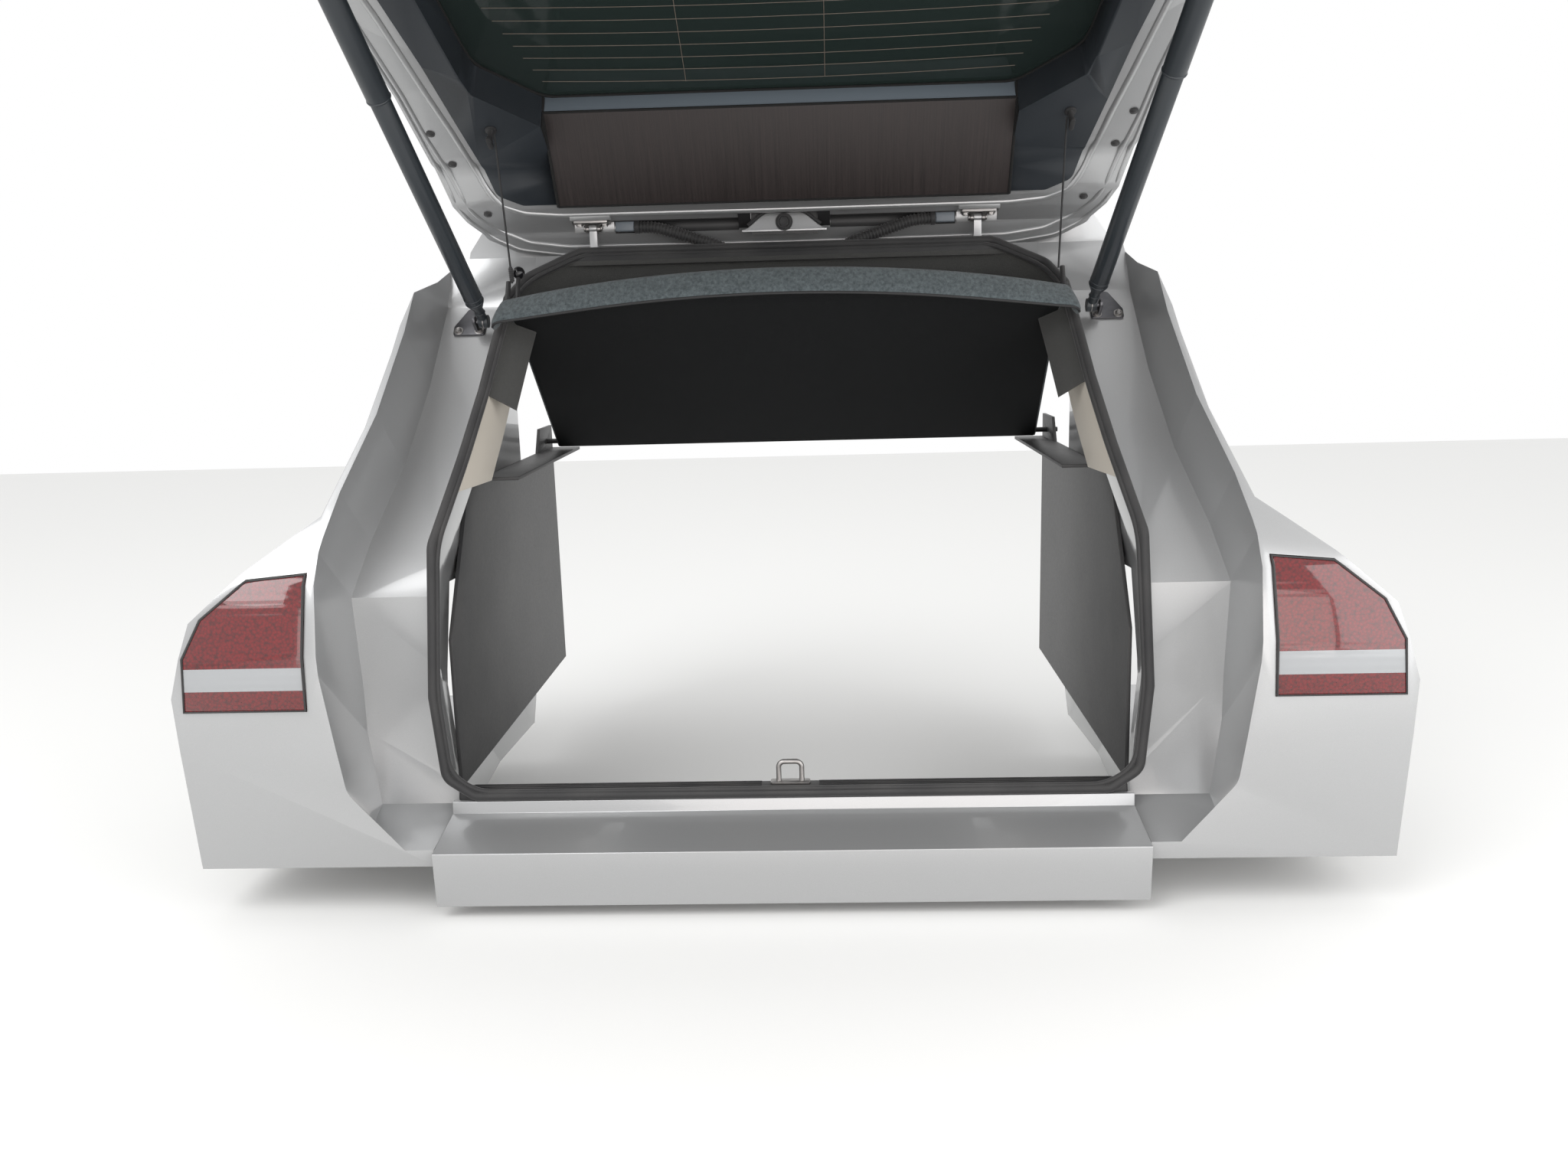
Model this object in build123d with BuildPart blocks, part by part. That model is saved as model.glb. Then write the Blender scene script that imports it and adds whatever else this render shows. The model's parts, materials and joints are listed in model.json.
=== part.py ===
"""Tailgate assembly of a compact crossover, gate raised.

Frame, in mm: +X is the car's right-hand side seen from behind, +Y the front of
the car, +Z up. The origin is the centre of the roof header's forward joint face.
Side views use (s, z): s runs rearwards from the hinge pin and z runs up from it.
Face views use (x, t): t runs up the slope of the shut glass from the hinge pin,
and n is the depth square to that glass, outwards from the pin.
The gate's planes are swung up about the pin, so its pieces are drawn shut.
"""
import math
import os

from build123d import *

os.makedirs("parts", exist_ok=True)

# hinge line and swing
HINGE_Y = -150.0
OPEN_ANGLE = 82.0
GLASS_SLOPE = 50.0
HINGE_X = 335.0
PIN_R = 4.0
PIN_PLAY = 0.05
KNUCKLE_R = 7.0
LEAF_W = 58.0
LEAF_T = 4.2
LEAF_Z = 7.5
ARM_W = 13.0
FOOT_W = 26.0
FOOT_T = 6.0

# walls and running gaps
SKIN = 3.0
SHUT_GAP = 6.0
TRIM_WALL = 4.0
SEAT_GAP = 0.3
GLASS_T = 4.0

# depth levels square to the shut glass
OUTER_N = 94.0
GLASS_N = 88.0
INNER_N = 34.0
TRIM_N = 26.0
GUTTER_N = -47.0
SEAL_N = 2.0
SEAL_R = 7.0
FLANGE_T = 5.0

# roof end and header beam
ROOF_TOP = 40.0
ROOF_HALF_W = 430.0
HEADER_D = 56.0
HEADER_H = 44.0
HEADER_TOP = 22.0
PLATFORM_Z = -47.0
SILL_Z = -905.0

# struts as (x, s, z) with the gate raised
STRUT_LOW = (513.5, 100.0, -155.0)
STRUT_HIGH = (585.0, 593.0, 341.0)
STRUT_SEAM = 438.0
STRUT_TUBE_L = 470.0
STRUT_TUBE_R = 15.5
STRUT_SLEEVE_R = 17.5
STRUT_PLAY = 0.4
BALL_R = 6.0
SOCKET_R = 11.0
SOCKET_W = 16.0

# parcel shelf and its cords
SHELF_PIN = (-360.0, -400.0)
SHELF_RISE = 28.1
SHELF_HALF_W = 470.0
SHELF_WAIST_W = 461.0
SHELF_FRONT_HALF_W = 500.0
SHELF_L = 672.0
SHELF_BOW = 82.0
SHELF_T = 9.0
SHELF_RIM_H = 46.0
SHELF_RIM_T = 12.0
SHELF_PIN_R = 5.0
SHELF_PIN_L = 22.0
CORD_X = 452.0
CORD_R = 1.6
CORD_TOP = (186.0, 132.7)
SHELF_SIDE_GAP = 21.0
SIDE_TRIM_X = SHELF_FRONT_HALF_W + SHELF_SIDE_GAP
SIDE_TRIM_T = 6.0
LEDGE_Z = SHELF_PIN[1] - SHELF_T - 8
LEDGE_W = 58.0
LEDGE_S = 140.0

# long enough to pass the whole part, and a sliver that makes pieces of one node join
REACH = 1500.0
EPS = 0.01


def side_plane(angle):
    """The side view plane through the hinge pin, swung about it."""
    x_dir = Vector(0, 1, 0).rotate(Axis.X, angle)
    return Plane(origin=(0, HINGE_Y, 0), x_dir=x_dir, z_dir=(1, 0, 0))


def face_plane(angle):
    """The plane of the glass slope through the hinge pin, swung about it."""
    z_dir = Vector(0, 0, 1).rotate(Axis.X, GLASS_SLOPE + angle)
    return Plane(origin=(0, HINGE_Y, 0), x_dir=(1, 0, 0), z_dir=z_dir)


BODY_SIDE = side_plane(0)
BODY_FACE = face_plane(0)
GATE_SIDE = side_plane(-OPEN_ANGLE)
GATE_FACE = face_plane(-OPEN_ANGLE)
SHELF_PLANE = Plane(
    origin=(0, HINGE_Y - SHELF_PIN[0], SHELF_PIN[1]),
    x_dir=(1, 0, 0),
    z_dir=Vector(0, 0, 1).rotate(Axis.X, -SHELF_RISE),
)


def tn(t, n):
    """A face view place (t, n) as a side view place (s, z)."""
    slope = math.radians(GLASS_SLOPE)
    return (
        n * math.sin(slope) - t * math.cos(slope),
        t * math.sin(slope) + n * math.cos(slope),
    )


def place(x, s, z):
    """A point in the part's frame from its side view place."""
    return Vector(x, HINGE_Y - s, z)


def inset(points, distance):
    """An open side profile moved inwards, with mitred corners."""
    moved = []
    for i, (s, z) in enumerate(points):
        before = points[max(i - 1, 0)]
        after = points[min(i + 1, len(points) - 1)]
        normals = []
        for a, b in ((before, (s, z)), ((s, z), after)):
            length = math.hypot(b[0] - a[0], b[1] - a[1])
            if length > 0:
                normals.append(((b[1] - a[1]) / length, -(b[0] - a[0]) / length))
        ns = sum(n[0] for n in normals) / len(normals)
        nz = sum(n[1] for n in normals) / len(normals)
        scale = distance / (ns * ns + nz * nz)
        moved.append((s + ns * scale, z + nz * scale))
    return moved


def side_band(plane, points, x_from=-REACH, x_to=REACH, mode=Mode.ADD):
    """Extrude a closed side view outline across the car."""
    offset_plane = plane.offset(x_from)
    with BuildSketch(offset_plane, mode=Mode.PRIVATE) as sketch:
        with BuildLine():
            Polyline(*[(-s, z) for s, z in points], close=True)
        make_face()
    extrude(sketch.sketch, amount=x_to - x_from, mode=mode)


def mirrored(half):
    """A closed outline from its right-hand half, top centre first."""
    return list(half) + [(-x, t) for x, t in reversed(half) if x > 0]


def flat_outline(half, radius, grow=0.0):
    """A face view outline in its own plane, rounded and grown."""
    with BuildSketch(mode=Mode.PRIVATE) as sketch:
        with BuildLine():
            Polyline(*mirrored(half), close=True)
        make_face()
        if radius > 0:
            fillet(sketch.vertices(), radius)
        if grow != 0:
            offset(amount=grow, kind=Kind.ARC)
    return sketch.sketch_local


def face_outline(plane, half, radius, grow=0.0, cut=None, cut_grow=0.0):
    """A face view outline, with another outline cut from it."""
    with BuildSketch(plane, mode=Mode.PRIVATE) as sketch:
        add(flat_outline(half, radius, grow))
        if cut:
            add(flat_outline(cut, radius, cut_grow), mode=Mode.SUBTRACT)
    return sketch.sketch


def face_prism(sketch, mode=Mode.ADD):
    """Extrude a face view outline square to the glass, both ways."""
    extrude(sketch, amount=REACH, both=True, mode=mode)


# side view profiles of the shut gate, front edge first
OUTER_SKIN = [
    (-48, 38.5),
    (60, 31),
    (150, 4),
    tn(-205, OUTER_N),
    tn(-676, OUTER_N),
    (548, -520),
    (566, -620),
    (560, -760),
    (528, SILL_Z),
]
INNER_SKIN = [
    (-47.5, 33),
    (-23, 21),
    (-5.6, 11.3),
    (46, -54),
    (109.6, -77.7),
    tn(-665, INNER_N),
    (452, -700),
    (462, -880),
    (470, SILL_Z + 2),
]
# body gutter floor, roof edge first
GUTTER = [
    (-58, 80),
    (-58, 33),
    (-66, 26),
    (-72, 5),
    (-74, -58),
    (-22, -58),
    (-16, PLATFORM_Z),
    (24, PLATFORM_Z),
    tn(-130, GUTTER_N),
    tn(-700, GUTTER_N),
    (400, -720),
    (405, SILL_Z),
    (560, SILL_Z - 20),
]

# face view outlines, right-hand half, top centre first
GATE_LOW_T = SILL_Z - 155
# the body's cutout keeps square front corners, as the gate swings forward through them
CUTOUT_FRONT = [(0, 62), (548, 62), (572, 35), (577, -60), (583, -130)]
GATE_FRONT = [(0, 62), (400, 60), (478, 48), (527, 22), (552, -25), (566, -80), (583, -140)]
EDGE_SIDE = [
    (592, -300),
    (612, -460),
    (645, -600),
    (660, -700),
    (660, SILL_Z + 45),
    (640, SILL_Z - 85),
    (560, GATE_LOW_T),
    (0, GATE_LOW_T),
]
CUTOUT_EDGE = CUTOUT_FRONT + EDGE_SIDE
GATE_EDGE = GATE_FRONT + EDGE_SIDE
OPENING = [
    (0, -52),
    (395, -52),
    (445, -85),
    (470, -150),
    (480, -250),
    (490, -350),
    (508, -480),
    (535, -640),
    (545, -780),
    (530, -930),
    (0, -975),
]
TRIM_EDGE = [
    (0, -76),
    (440, -76),
    (482, -92),
    (497, -140),
    (512, -250),
    (527, -367),
    (560, -560),
    (582, -664),
    (0, -664),
]
WINDOW = [
    (0, -229),
    (376, -229),
    (470, -306),
    (478, -343),
    (505, -560),
    (515, -645),
    (0, -645),
]
GLASS_GROW = 26.0
APERTURE_GROW = 8.0
OUTLINE_R = 18.0

FLANGE_TOP_N = SEAL_N - SEAL_R - SEAT_GAP
SEAL_LOW_S = 441.0
SEAL_LOW_Z = -888.0
SILL_TRIM_Z = SEAL_LOW_Z + 12.0
SILL_HALF_W = SIDE_TRIM_X + SIDE_TRIM_T

# seal: a round bulb along the flange, top and sides
SEAL_TOP_S = 18.0
SEAL_CORNER_X = 358.0
SEAL_PATH = [
    (0, (SEAL_TOP_S, PLATFORM_Z + SEAL_R + SEAT_GAP)),
    (SEAL_CORNER_X, (SEAL_TOP_S, PLATFORM_Z + SEAL_R + SEAT_GAP)),
    (446, tn(-92, -16)),
    (471, tn(-150, SEAL_N - 4)),
    (481, tn(-250, SEAL_N)),
    (491, tn(-350, SEAL_N)),
    (509, tn(-480, SEAL_N)),
    (536, tn(-640, SEAL_N)),
    (546, (SEAL_LOW_S - 5, -720)),
    (534, (SEAL_LOW_S, -850)),
    (490, (SEAL_LOW_S, SEAL_LOW_Z + SEAL_R + SEAT_GAP)),
    (0, (SEAL_LOW_S, SEAL_LOW_Z + SEAL_R + SEAT_GAP)),
]
with BuildPart() as opening_seal:
    with BuildLine() as seal_line:
        FilletPolyline(*[place(x, s, z) for x, (s, z) in SEAL_PATH], radius=26)
    with BuildSketch(Plane(seal_line.line @ 0, z_dir=seal_line.line % 0)):
        Circle(SEAL_R)
    sweep()
    mirror(about=Plane.YZ)
opening_seal.part.label = "opening_seal"
export_step(opening_seal.part, "parts/opening_seal.step")

# the room that the panels leave for the bulb
with BuildPart() as seal_seat:
    with BuildSketch(Plane(seal_line.line @ 0, z_dir=seal_line.line % 0)):
        Circle(SEAL_R + SEAT_GAP)
    sweep(path=seal_line.line)
    mirror(about=Plane.YZ)

# roof end: the roof's last strip with the gutter behind it
ROOF_UNDER = [
    (24, PLATFORM_Z - 9),
    (-12, PLATFORM_Z - 9),
    (-18, -67),
    (-82, -67),
    (-84, HEADER_TOP),
    (HINGE_Y, HEADER_TOP),
]
with BuildPart() as roof_end:
    side_band(
        BODY_SIDE,
        [(HINGE_Y, ROOF_TOP + 1), (-58, 38)] + GUTTER[1:8] + ROOF_UNDER,
        -ROOF_HALF_W,
        ROOF_HALF_W,
    )
    add(seal_seat.part, mode=Mode.SUBTRACT)
roof_end.part.label = "roof_end"
export_step(roof_end.part, "parts/roof_end.step")

# roof header: the beam whose forward face is the joint to the rest of the car
with BuildPart() as roof_header:
    side_band(
        BODY_SIDE,
        [
            (HINGE_Y, HEADER_TOP),
            (HINGE_Y + HEADER_D, HEADER_TOP),
            (HINGE_Y + HEADER_D, HEADER_TOP - HEADER_H),
            (HINGE_Y, HEADER_TOP - HEADER_H),
        ],
        -ROOF_HALF_W,
        ROOF_HALF_W,
    )
roof_header.part.label = "roof_header"
export_step(roof_header.part, "parts/roof_header.step")

# quarters: outer side, D-pillar with its gutter and the flange for the seal
QUARTER_REAR = [
    (430, 41), (540, 38), (578, 28), (592, 5), (598, -40), (602, -120), (612, -200),
    (632, -310), (672, -430), (770, -500), (850, -570), (885, -680), (880, -950), (430, -950),
]
LAMP_REAR = [(680, -505), (765, -512), (832, -565), (860, -620), (868, -700), (690, -700)]
LAMP_D = 45.0
LAMP_GAP = 2.0
LAMP_FRONT = [
    (566 - LAMP_D, -800),
    (566 - LAMP_D, -620),
    (548 - LAMP_D, -520),
    (505 - LAMP_D, -456),
]
CABIN_X = SIDE_TRIM_X + SIDE_TRIM_T + 1
GUTTER_WALL = 28.0
QUARTER_WALL = 60.0


def rear_prism(points, grow, y_from, y_to, mode):
    """Extrude a rear view outline of (x, z) points along the car."""
    with BuildSketch(Plane.XZ.offset(-y_from), mode=Mode.PRIVATE) as sketch:
        with BuildLine():
            Polyline(*points, close=True)
        make_face()
        if grow != 0:
            offset(amount=grow, kind=Kind.INTERSECTION)
    extrude(sketch.sketch, amount=y_from - y_to, mode=mode)


with BuildPart() as gutter_space:
    side_band(BODY_SIDE, GUTTER + [(900, SILL_Z - 60), (900, 80)], 0, REACH)
    face_prism(face_outline(BODY_FACE, CUTOUT_EDGE, OUTLINE_R, SHUT_GAP), Mode.INTERSECT)

with BuildPart() as seal_flange:
    side_band(
        BODY_SIDE,
        [
            tn(-96, FLANGE_TOP_N - 20),
            tn(-150, FLANGE_TOP_N - 4.5),
            tn(-250, FLANGE_TOP_N),
            tn(-640, FLANGE_TOP_N),
            (SEAL_LOW_S - SEAL_R - 7, -720),
            (SEAL_LOW_S - SEAL_R - 2, -850),
            (395, -850),
            (395, -700),
            tn(-660, -60),
            tn(-150, -60),
        ],
        ROOF_HALF_W,
        REACH,
    )
    face_prism(
        face_outline(BODY_FACE, OPENING, OUTLINE_R, FLANGE_T - 2, OPENING, -2),
        Mode.INTERSECT,
    )

with BuildPart() as lamp_space:
    side_band(
        BODY_SIDE,
        [
            (480, -400),
            (700, -400),
            (700, -800),
        ]
        + LAMP_FRONT,
        0,
        REACH,
    )
    rear_prism(LAMP_REAR, LAMP_GAP, HINGE_Y, HINGE_Y - 900, Mode.INTERSECT)

with BuildPart() as quarter_right:
    side_band(
        BODY_SIDE,
        [(HINGE_Y, ROOF_TOP + 1), (-58, 38)] + OUTER_SKIN[1:8] + [(545, -950), (HINGE_Y, -950)],
        ROOF_HALF_W,
        REACH,
    )
    rear_prism(QUARTER_REAR, 0, 100, -1000, Mode.INTERSECT)
    add(gutter_space.part, mode=Mode.SUBTRACT)
    face_prism(face_outline(BODY_FACE, OPENING, OUTLINE_R, FLANGE_T - 2), Mode.SUBTRACT)
    add(seal_flange.part)
    add(lamp_space.part, mode=Mode.SUBTRACT)
    # cabin side, in front of the gutter's wall
    side_band(
        BODY_SIDE,
        [
            (HINGE_Y - 5, -72),
            (0, -72),
            tn(-150, GUTTER_N - GUTTER_WALL),
            tn(-680, GUTTER_N - GUTTER_WALL),
            (400 - GUTTER_WALL, -720),
            (405 - GUTTER_WALL, -1000),
            (HINGE_Y - 5, -1000),
        ],
        0,
        CABIN_X,
        Mode.SUBTRACT,
    )
    # load bay recess behind the side trim
    side_band(
        BODY_SIDE,
        [(HINGE_Y - 5, -560), (330, -560), (350, -700), (350, -890), (HINGE_Y - 5, -890)],
        CABIN_X - 5,
        885 - QUARTER_WALL,
        Mode.SUBTRACT,
    )
    # room for the sill and its trim
    side_band(
        BODY_SIDE,
        [
            (200, SILL_TRIM_Z + SEAT_GAP),
            (REACH, SILL_TRIM_Z + SEAT_GAP),
            (REACH, -REACH),
            (200, -REACH),
        ],
        0,
        SILL_HALF_W + SEAT_GAP,
        Mode.SUBTRACT,
    )
    add(seal_seat.part, mode=Mode.SUBTRACT)
quarter_right.part.label = "quarter_right"
export_step(quarter_right.part, "parts/quarter_right.step")

with BuildPart() as quarter_left:
    add(quarter_right.part.mirror(Plane.YZ))
quarter_left.part.label = "quarter_left"
export_step(quarter_left.part, "parts/quarter_left.step")

# tail lamps, one solid lens unit a side
with BuildPart() as tail_lamp_right:
    side_band(
        BODY_SIDE,
        inset(OUTER_SKIN[4:8], -2) + [(560, -800)] + LAMP_FRONT,
        0,
        REACH,
    )
    rear_prism(LAMP_REAR, 0, HINGE_Y, HINGE_Y - 900, Mode.INTERSECT)
tail_lamp_right.part.label = "tail_lamp_right"
export_step(tail_lamp_right.part, "parts/tail_lamp_right.step")

with BuildPart() as tail_lamp_left:
    add(tail_lamp_right.part.mirror(Plane.YZ))
tail_lamp_left.part.label = "tail_lamp_left"
export_step(tail_lamp_left.part, "parts/tail_lamp_left.step")

# sill: folded panel across the bottom of the opening, with the seal's flange
SILL_FLANGE_S = SEAL_LOW_S - 7
SILL_REAR_S = 560.0
SILL_DROP = 105.0
with BuildPart() as rear_sill:
    side_band(
        BODY_SIDE,
        [
            (SILL_FLANGE_S, SEAL_LOW_Z),
            (SEAL_LOW_S + 3, SEAL_LOW_Z),
            (SEAL_LOW_S + 5, SILL_Z - 2),
            (SILL_REAR_S, SILL_Z - 20),
            (SILL_REAR_S - 4, SILL_Z - SILL_DROP),
            (SILL_REAR_S - 14, SILL_Z - SILL_DROP),
            (SILL_REAR_S - 11, SILL_Z - 31),
            (SILL_FLANGE_S + 2, SILL_Z - 13),
            (SILL_FLANGE_S, SILL_Z - 13),
        ],
        -SILL_HALF_W,
        SILL_HALF_W,
    )
rear_sill.part.label = "rear_sill"
export_step(rear_sill.part, "parts/rear_sill.step")

# trims on the body side
PILLAR_TRIM_T = 5.0
with BuildPart() as pillar_trim_right:
    side_band(
        BODY_SIDE,
        [
            tn(-170, SEAL_N - SEAL_R),
            tn(-640, SEAL_N - SEAL_R),
            (SEAL_LOW_S - 30, -700),
            (340, -600),
            tn(-560, -130),
            tn(-260, -110),
        ],
        0,
        REACH,
    )
    face_prism(
        face_outline(BODY_FACE, OPENING, OUTLINE_R, -2 - SEAT_GAP, OPENING, -2 - PILLAR_TRIM_T),
        Mode.INTERSECT,
    )
    # ends on the side trim's ledge
    side_band(
        BODY_SIDE,
        [
            (-200, LEDGE_Z + SEAT_GAP),
            (REACH, LEDGE_Z + SEAT_GAP),
            (REACH, -REACH),
            (-200, -REACH),
        ],
        0,
        REACH,
        Mode.SUBTRACT,
    )
    add(seal_seat.part, mode=Mode.SUBTRACT)
pillar_trim_right.part.label = "pillar_trim_right"
export_step(pillar_trim_right.part, "parts/pillar_trim_right.step")

with BuildPart() as pillar_trim_left:
    add(pillar_trim_right.part.mirror(Plane.YZ))
pillar_trim_left.part.label = "pillar_trim_left"
export_step(pillar_trim_left.part, "parts/pillar_trim_left.step")

HEADLINER_T = 8.0
HEADLINER_HALF_W = 398.0
ARCH_S = -46.0
ARCH = [
    (0, -69),
    (HEADLINER_HALF_W - 2, -69),
    (HEADLINER_HALF_W - 2, -73),
    (492, -73),
    (492, -132),
    (470, -122),
    (436, -107),
    (380, -95),
    (300, -87),
    (0, -80),
]
with BuildPart() as headliner_edge:
    side_band(
        BODY_SIDE,
        [
            (27, PLATFORM_Z - 9 - SEAT_GAP),
            (27, PLATFORM_Z - 9 - HEADLINER_T),
            (-82, -67 - SEAT_GAP - HEADLINER_T),
            (HINGE_Y, -67 - SEAT_GAP - HEADLINER_T),
            (HINGE_Y, -67 - SEAT_GAP),
            (-18, -67 - SEAT_GAP),
            (-12, PLATFORM_Z - 9 - SEAT_GAP),
        ],
        -HEADLINER_HALF_W,
        HEADLINER_HALF_W,
    )
    rear_prism(mirrored(ARCH), 0, HINGE_Y - ARCH_S, HINGE_Y - ARCH_S - HEADLINER_T, Mode.ADD)
    add(seal_seat.part, mode=Mode.SUBTRACT)
headliner_edge.part.label = "headliner_edge"
export_step(headliner_edge.part, "parts/headliner_edge.step")

# load bay side trims: wall panel, ledge for the shelf and the shelf's pivot hole
TRIM_FRONT_S = -410.0
with BuildPart() as side_trim_right:
    side_band(
        BODY_SIDE,
        [
            (TRIM_FRONT_S, SHELF_PIN[1] + 30),
            (-300, SHELF_PIN[1] + 30),
            (-270, LEDGE_Z),
            (240, LEDGE_Z),
            (395, -640),
            (400, -880),
            (TRIM_FRONT_S, -880),
        ],
        SIDE_TRIM_X,
        SIDE_TRIM_X + SIDE_TRIM_T,
    )
    side_band(
        BODY_SIDE,
        [
            (TRIM_FRONT_S, LEDGE_Z),
            (LEDGE_S, LEDGE_Z),
            (LEDGE_S, LEDGE_Z - SIDE_TRIM_T),
            (TRIM_FRONT_S, LEDGE_Z - SIDE_TRIM_T),
        ],
        SIDE_TRIM_X - LEDGE_W,
        SIDE_TRIM_X,
    )
    with BuildSketch(Plane.YZ.offset(SIDE_TRIM_X - 30)):
        with Locations((HINGE_Y - SHELF_PIN[0], SHELF_PIN[1])):
            Circle(SHELF_PIN_R + 0.1)
    extrude(amount=60, mode=Mode.SUBTRACT)
side_trim_right.part.label = "side_trim_right"
export_step(side_trim_right.part, "parts/side_trim_right.step")

with BuildPart() as side_trim_left:
    add(side_trim_right.part.mirror(Plane.YZ))
side_trim_left.part.label = "side_trim_left"
export_step(side_trim_left.part, "parts/side_trim_left.step")

with BuildPart() as sill_trim:
    side_band(
        BODY_SIDE,
        [
            (SILL_FLANGE_S - SEAT_GAP, SEAL_LOW_Z),
            (SILL_FLANGE_S - SEAT_GAP, SILL_Z - 45),
            (SILL_FLANGE_S - 54, SILL_Z - 45),
            (SILL_FLANGE_S - 56, SILL_Z + 5),
            (SILL_FLANGE_S - 34, SILL_TRIM_Z),
            (SILL_FLANGE_S - 4, SILL_TRIM_Z),
        ],
        -SIDE_TRIM_X + 2,
        SIDE_TRIM_X - 2,
    )
sill_trim.part.label = "sill_trim"
export_step(sill_trim.part, "parts/sill_trim.step")

# striker loop on the sill trim, with its base plate
STRIKER_S = 408.0
STRIKER_H = 34.0
STRIKER_R = 4.0
STRIKER_W = 36.0
with BuildPart() as striker:
    with BuildSketch(Plane.XY.offset(SILL_TRIM_Z + SEAT_GAP)):
        with Locations((0, HINGE_Y - STRIKER_S - 2)):
            RectangleRounded(62, 20, 5)
    extrude(amount=3)
    with BuildLine() as striker_line:
        FilletPolyline(
            place(-STRIKER_W / 2, STRIKER_S, SILL_TRIM_Z + 1),
            place(-STRIKER_W / 2, STRIKER_S, SILL_TRIM_Z + STRIKER_H),
            place(STRIKER_W / 2, STRIKER_S, SILL_TRIM_Z + STRIKER_H),
            place(STRIKER_W / 2, STRIKER_S, SILL_TRIM_Z + 1),
            radius=9,
        )
    with BuildSketch(Plane(striker_line.line @ 0, z_dir=striker_line.line % 0)):
        Circle(STRIKER_R)
    sweep(path=striker_line.line)
striker.part.label = "striker"
export_step(striker.part, "parts/striker.step")

# hinge arms: forked foot on the gutter platform, eye round the pin
ARM_NECK = [(-7.5, 0), (-8, -41), (4.5, -41), (4.5, 0)]
with BuildPart() as hinge_arm_right:
    side_band(BODY_SIDE, ARM_NECK, HINGE_X - ARM_W / 2, HINGE_X + ARM_W / 2)
    with BuildSketch(BODY_SIDE.offset(HINGE_X - ARM_W / 2)):
        Circle(KNUCKLE_R)
    extrude(amount=ARM_W)
    side_band(
        BODY_SIDE,
        [
            (-15, PLATFORM_Z),
            (8, PLATFORM_Z),
            (8, PLATFORM_Z + FOOT_T),
            (-15, PLATFORM_Z + FOOT_T),
        ],
        HINGE_X - FOOT_W / 2,
        HINGE_X + FOOT_W / 2,
    )
    with BuildSketch(BODY_SIDE.offset(HINGE_X - ARM_W)):
        Circle(PIN_R + PIN_PLAY)
    extrude(amount=2 * ARM_W, mode=Mode.SUBTRACT)
hinge_arm_right.part.label = "hinge_arm_right"
export_step(hinge_arm_right.part, "parts/hinge_arm_right.step")

with BuildPart() as hinge_arm_left:
    add(hinge_arm_right.part.mirror(Plane.YZ))
hinge_arm_left.part.label = "hinge_arm_left"
export_step(hinge_arm_left.part, "parts/hinge_arm_left.step")

# gate leaves of the hinges, drawn raised: plate, two lugs, the pin and bolt heads
LUG_T = 6.0
LUG_GAP = 0.6
LEAF_S = (-11.0, 27.0)
with BuildPart() as hinge_leaf_right:
    side_band(
        BODY_SIDE,
        [
            (LEAF_S[0], LEAF_Z),
            (LEAF_S[1], LEAF_Z),
            (LEAF_S[1], LEAF_Z + LEAF_T),
            (LEAF_S[0], LEAF_Z + LEAF_T),
        ],
        HINGE_X - LEAF_W / 2,
        HINGE_X + LEAF_W / 2,
    )
    for side in (-1, 1):
        inner = HINGE_X + side * (ARM_W / 2 + LUG_GAP)
        outer = inner + side * LUG_T
        low, high = min(inner, outer), max(inner, outer)
        with BuildSketch(BODY_SIDE.offset(low)):
            Circle(KNUCKLE_R)
        extrude(amount=high - low)
        side_band(
            BODY_SIDE,
            [(-KNUCKLE_R, 0), (KNUCKLE_R, 0), (KNUCKLE_R + 6, LEAF_Z + 1), (-KNUCKLE_R, LEAF_Z + 1)],
            low,
            high,
        )
        with BuildSketch(Plane.XY.offset(LEAF_Z - 4)):
            with Locations((HINGE_X + side * 22, HINGE_Y - 8)):
                RegularPolygon(6.5, 6)
        extrude(amount=4 + EPS)
    with BuildSketch(BODY_SIDE.offset(HINGE_X - ARM_W / 2 - LUG_GAP - LUG_T - 2)):
        Circle(PIN_R)
    extrude(amount=ARM_W + 2 * LUG_GAP + 2 * LUG_T + 4)
hinge_leaf_right.part.label = "hinge_leaf_right"
export_step(hinge_leaf_right.part, "parts/hinge_leaf_right.step")

with BuildPart() as hinge_leaf_left:
    add(hinge_leaf_right.part.mirror(Plane.YZ))
hinge_leaf_left.part.label = "hinge_leaf_left"
export_step(hinge_leaf_left.part, "parts/hinge_leaf_left.step")

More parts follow.
